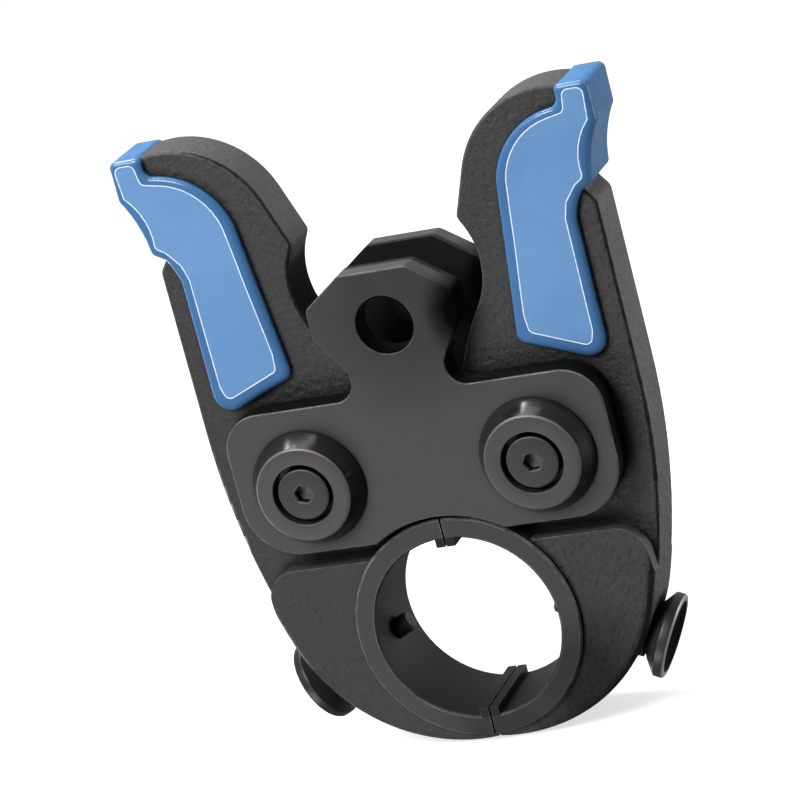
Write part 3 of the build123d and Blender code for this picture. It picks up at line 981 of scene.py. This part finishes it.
class ShapeTree(Wiring):
    """A geometry node tree with named inputs that ends in a material, built once."""

    name: str
    takes: dict[str, str]

    def __init__(self) -> None:
        """Builds the tree: its source and own inputs first, its finish last."""
        super().__init__(bpy.data.node_groups.new(self.name, "GeometryNodeTree"))
        self.tree.is_modifier = True
        sockets = {"Geometry": "Geometry", **self.takes, "Finish": "Material"}
        for name, kind in sockets.items():
            self.tree.interface.new_socket(name, in_out="INPUT", socket_type=f"NodeSocket{kind}")
        self.tree.interface.new_socket("Geometry", in_out="OUTPUT", socket_type="NodeSocketGeometry")
        *self.given, finish = list(self.add("NodeGroupInput").outputs)[: len(sockets)]
        solid = self.out("GeometryNodeRealizeInstances", {0: self.draw()})
        dressed = self.add("GeometryNodeSetMaterial", {"Geometry": solid, "Material": finish})
        self.add("NodeGroupOutput", {0: dressed.outputs[0]})

    def draw(self) -> Socket:
        """Adds the shape's own nodes and gives its geometry."""
        raise NotImplementedError

    def make(self, name: str, source: Piece, **values: object) -> Piece:
        """Runs the tree on a source object and keeps the result as a plain mesh.

        Args:
            name: Name of the finished piece.
            source: Object that holds the points or path; it is removed.
            values: Inputs of the tree by name.

        Returns:
            The finished piece, at the origin.
        """
        modifier = source.modifiers.new(self.name, "NODES")
        modifier.node_group = self.tree
        for item in self.tree.interface.items_tree:
            if item.in_out == "INPUT" and item.name in values:
                modifier[item.identifier] = values[item.name]
        bpy.context.view_layer.update()
        evaluated = source.evaluated_get(bpy.context.evaluated_depsgraph_get())
        mesh = bpy.data.meshes.new_from_object(evaluated)
        mesh.name = name
        bpy.data.objects.remove(source)
        outward(mesh)
        return linked(name, mesh)


class LatheTree(ShapeTree):
    """Turns a profile about Z. A profile point is (radius, hexagon flag, height)."""

    name = "lathe"
    takes = {"Segments": "Int"}
    facet = math.tau / 6
    seam = 1e-6

    def draw(self) -> Socket:
        """Wraps a grid, which has the profile along one side, round the axis.

        Returns:
            The turned shape.
        """
        profile, segments = self.given
        count = self.add("GeometryNodeAttributeDomainSize", {0: profile}).outputs["Point Count"]
        columns = self.plus(segments, 1.0)
        grid = self.out("GeometryNodeMeshGrid", {"Vertices X": columns, "Vertices Y": count})
        index = self.out("GeometryNodeInputIndex")
        turn = self.math("FLOOR", self.over(index, count))
        step = self.minus(index, self.times(turn, count))
        place = self.out("GeometryNodeInputPosition")
        inputs = {"Geometry": profile, "Value": place, "Index": step}
        point = self.out("GeometryNodeSampleIndex", inputs, data_type="FLOAT_VECTOR")
        radius, flag, height = self.split(point)
        angle = self.over(self.times(turn, math.tau), segments)
        off = self.minus(self.math("FLOORED_MODULO", angle, self.facet), self.facet / 2)
        stretch = self.minus(self.over(1.0, self.math("COSINE", off)), 1.0)
        wide = self.times(radius, self.plus(self.times(stretch, flag), 1.0))
        x, y = [self.times(wide, self.math(wave, angle)) for wave in ("COSINE", "SINE")]
        inputs = {"Geometry": grid, "Position": self.vector(x, y, height)}
        wrapped = self.out("GeometryNodeSetPosition", inputs)
        return self.out("GeometryNodeMergeByDistance", {"Geometry": wrapped, "Distance": self.seam})


class CopiesTree(ShapeTree):
    """Puts a copy of a template at each point, its Z along the point's axis, with a seeded spin."""

    name = "copies"
    takes = {"Template": "Object", "Spin": "Float", "Seed": "Int"}

    def draw(self) -> Socket:
        """Puts instances on the points, aligned to their stored axis and spun about it.

        A Random Value node has its numbers as inputs 2 and 3 and output 1.

        Returns:
            The copies.
        """
        points, template, spin, seed = self.given
        shape = self.add("GeometryNodeObjectInfo", {"Object": template}).outputs["Geometry"]
        axis = self.out("GeometryNodeInputNamedAttribute", {"Name": AXIS}, data_type="FLOAT_VECTOR")
        aligned = self.out("FunctionNodeAlignRotationToVector", {"Vector": axis}, axis="Z")
        random = self.add("FunctionNodeRandomValue", {2: 0.0, 3: spin, "Seed": seed}).outputs[1]
        turn = self.out("FunctionNodeEulerToRotation", {0: self.vector(z=random)})
        inputs = {"Rotation": aligned, "Rotate By": turn}
        turned = self.out("FunctionNodeRotateRotation", inputs, rotation_space="LOCAL")
        inputs = {"Points": points, "Instance": shape, "Rotation": turned}
        return self.out("GeometryNodeInstanceOnPoints", inputs)


class WireTree(ShapeTree):
    """A round wire swept along a chain of edges, with closed ends."""

    name = "wire"
    takes = {"Radius": "Float"}
    sides = 16

    def draw(self) -> Socket:
        """Sweeps a circle along the chain.

        Returns:
            The wire.
        """
        chain, radius = self.given
        path = self.out("GeometryNodeMeshToCurve", {0: chain})
        section = self.add("GeometryNodeCurvePrimitiveCircle", {"Resolution": self.sides, "Radius": radius})
        inputs = {"Curve": path, "Profile Curve": section.outputs[0], "Fill Caps": True}
        return self.out("GeometryNodeCurveToMesh", inputs)


class CheekTree(ShapeTree):
    """Something flat that follows a closed outline drawn in X and Y, laid on both cheeks of a cover."""

    takes = {"Width": "Float", "Thickness": "Float", "Corner": "Float", "Half": "Float"}
    corner_steps = 5

    def draw(self) -> Socket:
        """Rounds the outline's corners, fills or follows it, and stands it up on both sides.

        Returns:
            The two flat things.
        """
        outline, _, _, corner, half = self.given
        path = self.out("GeometryNodeMeshToCurve", {0: outline})
        inputs = {"Curve": path, "Radius": corner, "Count": self.corner_steps, "Limit Radius": True}
        smooth = self.out("GeometryNodeFilletCurve", inputs, mode="POLY")
        flat = self.flat(smooth)
        both = self.add("GeometryNodeJoinGeometry")
        for sign in (-1.0, 1.0):
            place = self.vector(y=self.times(half, sign))
            inputs = {"Geometry": flat, "Translation": place, "Rotation": (math.pi / 2, 0.0, 0.0)}
            self.feed(both.inputs[0], self.out("GeometryNodeTransform", inputs))
        return both.outputs[0]

    def flat(self, outline: Socket) -> Socket:
        """Adds the nodes that make the flat thing about the XY plane and gives its geometry."""
        raise NotImplementedError


class BorderTree(CheekTree):
    """A printed line along the outline."""

    name = "border_line"

    def flat(self, outline: Socket) -> Socket:
        """Sweeps a flat section along the outline.

        Args:
            outline: The rounded outline.

        Returns:
            The line.
        """
        _, width, thickness, *_ = self.given
        level = self.out("GeometryNodeSetCurveNormal", {"Curve": outline}, mode="Z_UP")
        size = {"Width": width, "Height": thickness}
        section = self.out("GeometryNodeCurvePrimitiveQuadrilateral", size, mode="RECTANGLE")
        return self.out("GeometryNodeCurveToMesh", {"Curve": level, "Profile Curve": section})


class PanelTree(CheekTree):
    """A thin bare panel that fills the outline."""

    name = "panel"

    def flat(self, outline: Socket) -> Socket:
        """Fills the outline with a closed sheet.

        Args:
            outline: The rounded outline.

        Returns:
            The sheet.
        """
        _, _, thickness, *_ = self.given
        face = self.out("GeometryNodeFillCurve", {0: outline})
        drop = self.vector(z=self.times(thickness, -0.5))
        low = self.out("GeometryNodeTransform", {"Geometry": face, "Translation": drop})
        inputs = {"Mesh": low, "Offset Scale": thickness, "Individual": False}
        raised = self.out("GeometryNodeExtrudeMesh", inputs)
        sheet = self.add("GeometryNodeJoinGeometry")
        for part in (low, raised):
            self.feed(sheet.inputs[0], part)
        return sheet.outputs[0]


LATHE = LatheTree()
COPIES = CopiesTree()
WIRE = WireTree()
BORDER = BorderTree()
PANEL = PanelTree()


def arc(centre: Point2, radius: float, start: float, end: float, steps: int) -> list[Point2]:
    """Points along an arc from one angle to another, in degrees."""
    angles = [math.radians(start + (end - start) * step / steps) for step in range(steps + 1)]
    return [(centre[0] + radius * math.cos(turn), centre[1] + radius * math.sin(turn)) for turn in angles]


def eased(profile: list[Point2], ease: float, steps: int = 3) -> list[Point2]:
    """Rounds the inner corners of an open profile.

    Args:
        profile: Points (radius, height).
        ease: Length that a rounded corner takes from each side, less where a side is short.
        steps: Pieces along each rounded corner.

    Returns:
        The profile with its corners rounded.
    """
    side_share = 0.4
    rounded = [profile[0]]
    for before, corner, after in zip(profile, profile[1:], profile[2:]):
        here = Vector(corner)
        back = Vector(before) - here
        on = Vector(after) - here
        cut = min(ease, back.length * side_share, on.length * side_share)
        first = here + back.normalized() * cut
        last = here + on.normalized() * cut
        for step in range(steps + 1):
            share = step / steps
            point = first.lerp(here, share).lerp(here.lerp(last, share), share)
            rounded.append((point.x, point.y))
    rounded.append(profile[-1])
    return rounded


def turned_template(
    name: str, profile: Sequence[Point2 | Point3], finish: Finish, segments: int = 72
) -> Piece:
    """Turns a profile into a template piece.

    Args:
        name: Name of the template.
        profile: Points (radius, height) or (radius, hexagon flag, height), in millimetres.
        finish: Finish of the piece.
        segments: Pieces round the turn.

    Returns:
        The template, with its axis along Z.
    """
    points = [(p[0] * MM, p[1] if len(p) == 3 else 0.0, p[-1] * MM) for p in profile]
    source = path_object(f"{name}_profile", points)
    return LATHE.make(name, source, Segments=segments, Finish=finish.material())


def placed_copies(
    name: str, template: Piece, places: list[Place], finish: Finish, spin: float = 0.0
) -> Piece:
    """Puts copies of a template at places and removes the template.

    Args:
        name: Name of the finished piece.
        template: The piece to copy, with its axis along Z.
        places: The point and axis of each copy, in metres.
        finish: Finish of the copies.
        spin: Most that a copy may be turned about its axis.

    Returns:
        The copies as one piece.
    """
    points = mesh_object(f"{name}_points", [place for place, _ in places])
    axes = points.data.attributes.new(AXIS, "FLOAT_VECTOR", "POINT")
    axes.data.foreach_set("vector", [value for _, axis in places for value in axis])
    made = COPIES.make(name, points, Template=template, Spin=spin, Seed=SPIN_SEED, Finish=finish.material())
    bpy.data.objects.remove(template)
    return made


def wire_piece(name: str, path: list[Point3], thickness: float) -> Piece:
    """Makes a spring's wire, of a thickness in millimetres, along a path in metres."""
    source = path_object(f"{name}_path", path)
    return WIRE.make(name, source, Radius=thickness / 2 * MM, Finish=SPRING_STEEL.material())


def tone_faces(piece: Piece, tone: Callable[[Vector], float]) -> None:
    """Stores how bare (to 1), partly as painted highlight, or darkened as painted shade (to -1) each face of
    a piece is.

    Args:
        piece: The finished piece.
        tone: Gives the tone for the middle of a face.
    """
    stored = piece.data.attributes.new(TONE, "FLOAT", "FACE")
    stored.data.foreach_set("value", [tone(face.center) for face in piece.data.polygons])


class Assembly:
    """Pieces that are built and dressed together."""

    def build(self) -> None:
        """Makes the pieces that stand for solids or lie on them."""

    def dress(self) -> None:
        """Gives the solids that stay their finishes."""


@dataclass
class SidePlates(Assembly):
    """The two plates that hang on the tool's pin."""

    nodes: tuple[str, str] = ("front_side_plate", "rear_side_plate")

    def dress(self) -> None:
        """Gives both plates their ground finish."""
        for node in self.nodes:
            dress(node, PLATE_STEEL)


@dataclass
class Pivots(Assembly):
    """Pivot pins of the arms with their caps and screws, in millimetres.

    The recess, head, shank and socket are each a radius and a height or depth.
    """

    centre: Point2 = PIVOT
    plate: float = 15.0
    cap_base: float = 14.5
    cap_top: float = 11.8
    cap_height: float = 5.5
    cap_land: float = 0.7
    cap_ease: float = 0.12
    cap_segments: int = 96
    # The cone is darkened as painted shade; the face's rim is bare, partly as a painted highlight.
    cone_shade: float = -0.6
    rim_wear_and_highlight: float = 0.2
    chamfer: float = 0.3
    recess: Point2 = (7.7, 3.5)
    hole: float = 3.3
    head: Point2 = (6.5, 3.2)
    head_ease: float = 0.2
    # The head's rim is bare, partly as a painted highlight.
    head_wear_and_highlight: float = 0.25
    shank: Point2 = (3.0, 14.0)
    socket: Point2 = (2.0, 2.4)
    socket_land: float = 1.0
    socket_rim: Point2 = (0.3, 0.25)
    socket_point: float = 0.3
    # The floor of the socket is lightened as painted light.
    socket_light: float = 0.42
    spin: float = math.pi / 3
    kinds: tuple[str, str] = ("front", "rear")

    def nodes(self, name: str) -> list[str]:
        """Names of the four solids of a kind."""
        return [side.node(f"{kind}_{name}") for side in Side for kind in self.kinds]

    def recess_floor(self) -> float:
        """Height of the recess's floor over the plate, where a screw's head sits."""
        return self.cap_height - self.recess[1]

    def places(self, height: float) -> list[Place]:
        """The four places of a cap or screw.

        Args:
            height: Height over the plates.

        Returns:
            The point and axis of each copy.
        """
        x, z = self.centre
        level = self.plate + height
        return [
            ((side.value * x * MM, sign * level * MM, z * MM), (0.0, sign, 0.0))
            for side in Side for sign in (-1.0, 1.0)
        ]

    def cap_profile(self) -> list[Point2]:
        """Half section of a cap, from its bore outwards and back.

        Returns:
            Points (radius, height).
        """
        recess = self.recess[0]
        floor = self.recess_floor()
        half = self.chamfer / 2
        corners = [
            (self.hole, 0.0), (self.cap_base, 0.0), (self.cap_base, self.cap_land),
            (self.cap_top + half, self.cap_height - self.chamfer),
            (self.cap_top - self.chamfer, self.cap_height),
            (recess + half, self.cap_height), (recess, self.cap_height - half),
            (recess, floor), (self.hole, floor), (self.hole, 0.0),
        ]
        return eased(corners, self.cap_ease)

    def screw_profile(self) -> list[Point3]:
        """Half section of a screw from its tip to the floor of its hexagon socket.

        Returns:
            Points (radius, hexagon flag, height).
        """
        radius, height = self.head
        shank, length = self.shank
        socket, depth = self.socket
        wide, sunk = self.socket_rim
        corners = [
            (0.0, -length), (shank, -length), (shank, 0.0), (radius, 0.0), (radius, height - self.chamfer),
            (radius - self.chamfer, height), (socket + self.socket_land, height),
        ]
        body = [(across, 0.0, up) for across, up in eased(corners, self.head_ease)]
        wall = [(socket + wide, 1.0, height), (socket, 1.0, height - sunk), (socket, 1.0, height - depth)]
        return [*body, *wall, (0.0, 0.0, height - depth - self.socket_point)]

    def across(self, middle: Vector) -> float:
        """Distance of a point from the axis of its pivot."""
        return math.hypot(abs(middle.x) / MM - self.centre[0], middle.z / MM - self.centre[1])

    def cap_tone(self, middle: Vector) -> float:
        """Tone of a cap, whose cone is darkened as painted shade and polished, and whose face has a bare rim
        that is partly a painted highlight.

        Args:
            middle: Middle of a face.

        Returns:
            The face's tone.
        """
        across = self.across(middle)
        if across > self.cap_top + self.chamfer:
            return self.cone_shade
        return self.rim_wear_and_highlight if across > self.cap_top - self.chamfer else 0.0

    def screw_tone(self, middle: Vector) -> float:
        """Tone of a screw, which is bare along the rim of its head, partly as a painted highlight, and
        lightened on the floor of its socket as painted light.

        Args:
            middle: Middle of a face.

        Returns:
            The face's tone.
        """
        across = self.across(middle)
        above = abs(middle.y) / MM - self.plate - self.recess_floor()
        radius, height = self.head
        socket, depth = self.socket
        if across < socket and 0.0 < above < height - depth:
            return self.socket_light
        on_rim = across > radius - self.chamfer and above > height - self.chamfer
        return self.head_wear_and_highlight if on_rim else 0.0

    def build(self) -> None:
        """Makes the caps and screws, which ride on the plates."""
        cap = turned_template("pivot_cap", self.cap_profile(), CAP_STEEL, self.cap_segments)
        caps = placed_copies("pivot_caps", cap, self.places(0.0), CAP_STEEL)
        tone_faces(caps, self.cap_tone)
        install(caps, "frame", self.nodes("pivot_cap"))
        screw = turned_template("cap_screw", self.screw_profile(), FASTENER_STEEL)
        places = self.places(self.recess_floor())
        screws = placed_copies("cap_screws", screw, places, FASTENER_STEEL, self.spin)
        tone_faces(screws, self.screw_tone)
        install(screws, "frame", self.nodes("cap_screw"))

    def dress(self) -> None:
        """Gives the pins their ground finish."""
        for side in Side:
            dress(side.node("pivot_pin"), PIN_STEEL)


@dataclass
class JawArm(Assembly):
    """One arm with its half of the split ring."""

    side: Side

    def dress(self) -> None:
        """Gives the arm its cast finish and the seat its turned finish."""
        dress(self.side.node("jaw_arm"), ARM_CASTING)
        dress(self.side.node("die_seat"), SEAT_STEEL)


@dataclass
class GripCover(Assembly):
    """One grip cover with a bordered panel on both cheeks, in millimetres."""

    side: Side
    half: float = 9.0
    line_width: float = 0.27
    line_thickness: float = 0.08
    panel_thickness: float = 0.04
    corner: float = 1.6
    foot: tuple[Point2, ...] = ((48.3, -11.0), (47.2, -14.6), (32.9, -9.0), (32.6, -4.7))
    rise: tuple[Point2, ...] = ((33.2, 0.6), (34.7, 12.4), (35.7, 21.8))
    crown: Arc = ((52.7, 25.19), 16.53, 168.0, 99.5)
    crown_steps: int = 9
    tip: tuple[Point2, ...] = ((54.3, 42.3), (55.0, 47.5), (60.1, 47.5), (59.5, 39.5))
    notch: Arc = ((70.83, 28.38), 15.94, 136.0, 188.0)
    notch_steps: int = 6
    tuck: tuple[Point2, ...] = ((52.6, 24.6), (49.6, 20.9), (48.5, 17.0))

    def outline(self) -> list[Point3]:
        """Outline of the panel.

        Returns:
            Points in X and Y, in metres.
        """
        crown = arc(*self.crown, self.crown_steps)
        notch = arc(*self.notch, self.notch_steps)
        points = [*self.foot, *self.rise, *crown, *self.tip, *notch, *self.tuck]
        flat = [self.side.place(x, z) for x, z in points]
        return [(x * MM, z * MM, 0.0) for x, z in flat]

    def build(self) -> None:
        """Makes the panels and the lines round them, which ride on the arm."""
        sizes = {"Width": self.line_width * MM, "Corner": self.corner * MM, "Half": self.half * MM}
        layers = [
            (PANEL, "grip_panel", self.panel_thickness, PANEL_BLUE),
            (BORDER, "border_line", self.line_thickness, BORDER_INK),
        ]
        for tree, kind, thickness, finish in layers:
            name = self.side.node(kind)
            source = path_object(f"{name}_path", self.outline(), closed=True)
            piece = tree.make(name, source, Thickness=thickness * MM, Finish=finish.material(), **sizes)
            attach(piece, self.side.node("arm"))
            LOG.info("built %s", name)

    def dress(self) -> None:
        """Gives the cover its moulded finish."""
        dress(self.side.node("grip_cover"), GRIP_BLUE)


@dataclass
class DieLock(Assembly):
    """One locking pin with its guide, spring and pull knob, in millimetres.

    The seat is a point in X and Z. The neck and rim are each a radius and a distance from it along the axis.
    """

    side: Side
    seat: Point2 = (23.4, -82.4)
    slope: float = 25.5
    travel: float = 4.6
    stem: float = 2.15
    stem_end: float = 23.4
    knob_start: float = 20.5
    knob_ease: float = 0.25
    knob_segments: int = 96
    neck: Point2 = (6.4, 20.9)
    hub: float = 7.2
    rim: Point2 = (10.7, 23.5)
    rim_end: float = 26.0
    chamfer: float = 0.4
    lip: float = 1.2
    lip_tone: float = 0.7
    dish: float = 1.6
    dish_steps: int = 10
    dish_slack: float = 0.1
    # The dish is darkened as painted shade.
    dish_shade: float = -1.0
    spring_start: float = 8.2
    spring_end: float = 16.4
    wire: float = 0.7
    coil: float = 3.3
    turns: float = 3.5
    turn_steps: int = 24

    def axis(self) -> Vector:
        """Direction in which the knob is pulled."""
        slope = math.radians(self.slope)
        return Vector((self.side.value * math.cos(slope), 0.0, -math.sin(slope)))

    def at(self, along: float) -> Vector:
        """Point on the axis, in metres."""
        x, z = self.side.place(*self.seat)
        return (Vector((x, 0.0, z)) + self.axis() * along) * MM

    def lip_radius(self) -> float:
        """Radius of the edge between the knob's lip and its dish."""
        return self.rim[0] - self.chamfer - self.lip

    def knob_profile(self) -> list[Point2]:
        """Half section of the knob, from the middle of its dish round to its blind bore.

        Returns:
            Points (radius, height).
        """
        radius, rim_start = self.rim
        lip = self.lip_radius()
        sphere = (lip**2 + self.dish**2) / (2 * self.dish)
        floor = self.rim_end - self.dish
        sweep = math.degrees(math.asin(lip / sphere))
        dish = arc((0.0, floor + sphere), sphere, -90.0, sweep - 90.0, self.dish_steps)
        corners = [
            dish[-1], (radius - self.chamfer, self.rim_end), (radius, self.rim_end - self.chamfer),
            (radius, rim_start), (self.hub, self.neck[1]), (self.neck[0], self.knob_start),
            (self.stem, self.knob_start), (self.stem, self.stem_end), (0.0, self.stem_end),
        ]
        return dish[:-1] + eased(corners, self.knob_ease)

    def knob_tone(self, middle: Vector) -> float:
        """Tone of the knob, whose lip is bare and whose dish is darkened as painted shade.

        Args:
            middle: Middle of a face.

        Returns:
            The face's tone.
        """
        rise = middle - self.at(0.0)
        along = rise.dot(self.axis()) / MM
        across = (rise - self.axis() * along * MM).length / MM
        if across < self.lip_radius():
            in_dish = along > self.rim_end - self.dish - self.dish_slack
            return self.dish_shade if in_dish else 0.0
        return self.lip_tone if along > self.rim_end - self.chamfer else 0.0

    def spring_path(self) -> list[Point3]:
        """Middle of the spring's wire, with a straight run of one wire's width at each end.

        Returns:
            Points in metres.
        """
        room = self.spring_end - self.spring_start
        pitch = (room - 2 * self.wire) / self.turns
        steps = int(self.turns * self.turn_steps)
        across = Vector((0.0, 1.0, 0.0))
        other = self.axis().cross(across)
        points = []
        for step in range(steps + 1):
            angle = math.tau * self.turns * step / steps
            along = self.spring_start + self.wire + pitch * angle / math.tau
            ring = across * math.cos(angle) + other * math.sin(angle)
            points.append(self.at(along) + ring * (self.coil * MM))
        run = self.wire * MM
        first = points[0] + (points[0] - points[1]).normalized() * run
        last = points[-1] + (points[-1] - points[-2]).normalized() * run
        return [tuple(point) for point in (first, *points, last)]

    def build(self) -> None:
        """Makes the knob, which rides on the pin, and the spring, which rides on the arm."""
        name = self.side.node("pull_knob_turned")
        template = turned_template(f"{name}_template", self.knob_profile(), KNOB_STEEL, self.knob_segments)
        knob = placed_copies(name, template, [(tuple(self.at(0.0)), tuple(self.axis()))], KNOB_STEEL)
        tone_faces(knob, self.knob_tone)
        install(knob, self.side.node("plunger"), [self.side.node("pull_knob")])
        spring = wire_piece(self.side.node("lock_spring_wire"), self.spring_path(), self.wire)
        install(spring, self.side.node("arm"), [self.side.node("lock_spring")])
        self.side.node("plunger_slide")
        self.at(self.spring_end)
        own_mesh(spring)

    def dress(self) -> None:
        """Gives the pin and its guide their blackened finish."""
        for name in ("locking_pin", "lock_guide"):
            dress(self.side.node(name), LOCK_STEEL)


@dataclass
class ClosingSpring(Assembly):
    """Hairpin spring on its post, a leg against each arm, in millimetres."""

    post_z: float = -38.0
    wire: float = 1.6
    coil: float = 4.5
    coil_steps: int = 60
    pitch: float = 2.2
    extra_turns: int = 2
    leg: float = 20.0
    leg_steps: int = 16
    tilt: float = 11.9

    def half(self, side: Side) -> list[Point3]:
        """Middle of the wire from the tip of one leg to the middle of the coil.

        Args:
            side: The arm that the leg lies against.

        Returns:
            Points in metres.
        """
        start = math.radians(self.tilt)
        sweep = math.tau * self.extra_turns + math.pi - 2 * start
        middle = start + sweep / 2
        points = []
        for step in range(self.coil_steps + 1):
            away = sweep / 2 * (1 - step / self.coil_steps)
            angle = middle - side.value * away
            height = self.pitch * (angle - middle) / math.tau
            points.append((self.coil * math.cos(angle), height, self.post_z - self.coil * math.sin(angle)))
        first, second = Vector(points[0]), Vector(points[1])
        tip = first + (first - second).normalized() * self.leg
        leg = [tuple(tip.lerp(first, step / self.leg_steps)) for step in range(self.leg_steps)]
        return [tuple(value * MM for value in point) for point in (*leg, *points)]

    def build(self) -> None:
        """Makes both halves of the wire."""
        for side in Side:
            path = self.half(side)
            wire = wire_piece(side.node("closing_spring_wire"), path, self.wire)
            side.node("arm")
            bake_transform(wire)
            LOG.info("built %s", wire.name)
        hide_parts("closing_spring")

    def dress(self) -> None:
        """Gives the post its ground finish."""
        dress("spring_post", PIN_STEEL)


@dataclass
class Softbox:
    """One soft studio light, in metres."""

    name: str
    place: Point3
    size: float
    power: float
    target: Point3 = (0.0, 0.0, -0.03)

    def build(self) -> None:
        """Hangs the light and points it at its target."""
        light = bpy.data.lights.new(self.name, "AREA")
        light.energy = self.power
        light.size = self.size
        lamp = linked(self.name, light)
        lamp.location = self.place
        lamp.rotation_euler = (Vector(self.target) - Vector(self.place)).to_track_quat("-Z", "Y").to_euler()
        LOG.info("lit %s", self.name)


@dataclass
class Studio:
    """Pale floor, soft lights, a surround and the camera, in metres.

    The surround is given by direction: how bright it is, and where one part fades into the next.
    """

    floor_z: float = -0.1106
    floor_half: float = 4.0
    lens: float = 183.138
    near: float = 0.01
    camera_place: Point3 = (0.346953, -0.882663, 0.250401)
    camera_turn: Point3 = (73.39864, 14.24701, 17.6565)
    dim: float = 0.23
    flagged: float = 0.06
    bright: Point2 = (0.5, 0.7)
    above: Point2 = (-0.7, -0.3)
    behind: Point2 = (-0.1, 0.5)
    flag: Point2 = (0.1, 0.5)
    sweep: Point2 = (-0.4, 0.4)
    lights: tuple[Softbox, ...] = field(default_factory=lambda: (
        Softbox("key_softbox", (-0.28, -0.72, 0.55), 0.45, 11.0),
        Softbox("bounce_softbox", (-0.33, -0.55, -0.42), 0.35, 2.1),
        Softbox("top_softbox", (-0.42, 0.25, 0.92), 0.3, 7.0),
        Softbox("crown_softbox", (-0.12, 0.22, 1.0), 0.5, 2.6),
        Softbox("rim_softbox", (1.08, 0.62, -0.12), 0.5, 6.2),
        Softbox("edge_softbox", (-0.81, 0.39, -0.38), 0.5, 3.2),
    ))

    def build(self) -> None:
        """Sets up the floor, the lights, the surround and the camera."""
        self.lay_floor()
        for light in self.lights:
            light.build()
        self.hang_surround()
        self.set_camera()

    def lay_floor(self) -> None:
        """Lays the floor, which the camera sees but the part neither mirrors nor is shaded by."""
        half = self.floor_half
        corners = [(x * half, y * half, self.floor_z) for x, y in ((-1, -1), (1, -1), (1, 1), (-1, 1))]
        floor = mesh_object("studio_floor", corners, faces=[(0, 1, 2, 3)])
        floor.data.materials.append(FLOOR_WHITE.material())
        floor.visible_glossy = False
        floor.visible_diffuse = False
        floor.visible_shadow = False

    def hang_surround(self) -> None:
        """Hangs a bright backdrop behind and above, in a dim room that is flagged off on the right."""
        world = bpy.data.worlds.new("studio_surround")
        world.use_nodes = True
        net = Wiring(world.node_tree)
        x, y, z = net.split(net.add("ShaderNodeTexCoord").outputs["Generated"])
        lit = net.times(net.span(z, *self.above), net.span(y, *self.behind))
        room = net.span(x, *self.flag, self.dim, self.flagged)
        backdrop = net.span(x, *self.sweep, *self.bright)
        strength = net.plus(room, net.times(net.minus(backdrop, room), lit))
        sky = net.tree.nodes["Background"].inputs
        net.feed(sky["Strength"], strength)
        net.feed(sky["Color"], rgba(WHITE))
        bpy.context.scene.world = world

    def set_camera(self) -> None:
        """Sets the camera at the photograph's viewing angle."""
        data = bpy.data.cameras.new("photo_camera")
        data.lens = self.lens
        data.clip_start = self.near
        camera = linked("photo_camera", data)
        camera.location = self.camera_place
        camera.rotation_euler = Euler([math.radians(turn) for turn in self.camera_turn], "XYZ")
        bpy.context.scene.camera = camera
        bpy.context.scene.view_settings.view_transform = "Standard"


def main() -> None:
    """Sets up the studio, and builds and dresses every sub-assembly."""
    logging.basicConfig(level=logging.INFO, format="%(name)s: %(message)s")
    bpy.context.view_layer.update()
    Studio().build()
    assemblies: list[Assembly] = [SidePlates(), Pivots(), ClosingSpring()]
    for side in Side:
        assemblies += [JawArm(side), GripCover(side), DieLock(side)]
    for assembly in assemblies:
        assembly.build()
        assembly.dress()


if __name__ == "__main__":
    main()
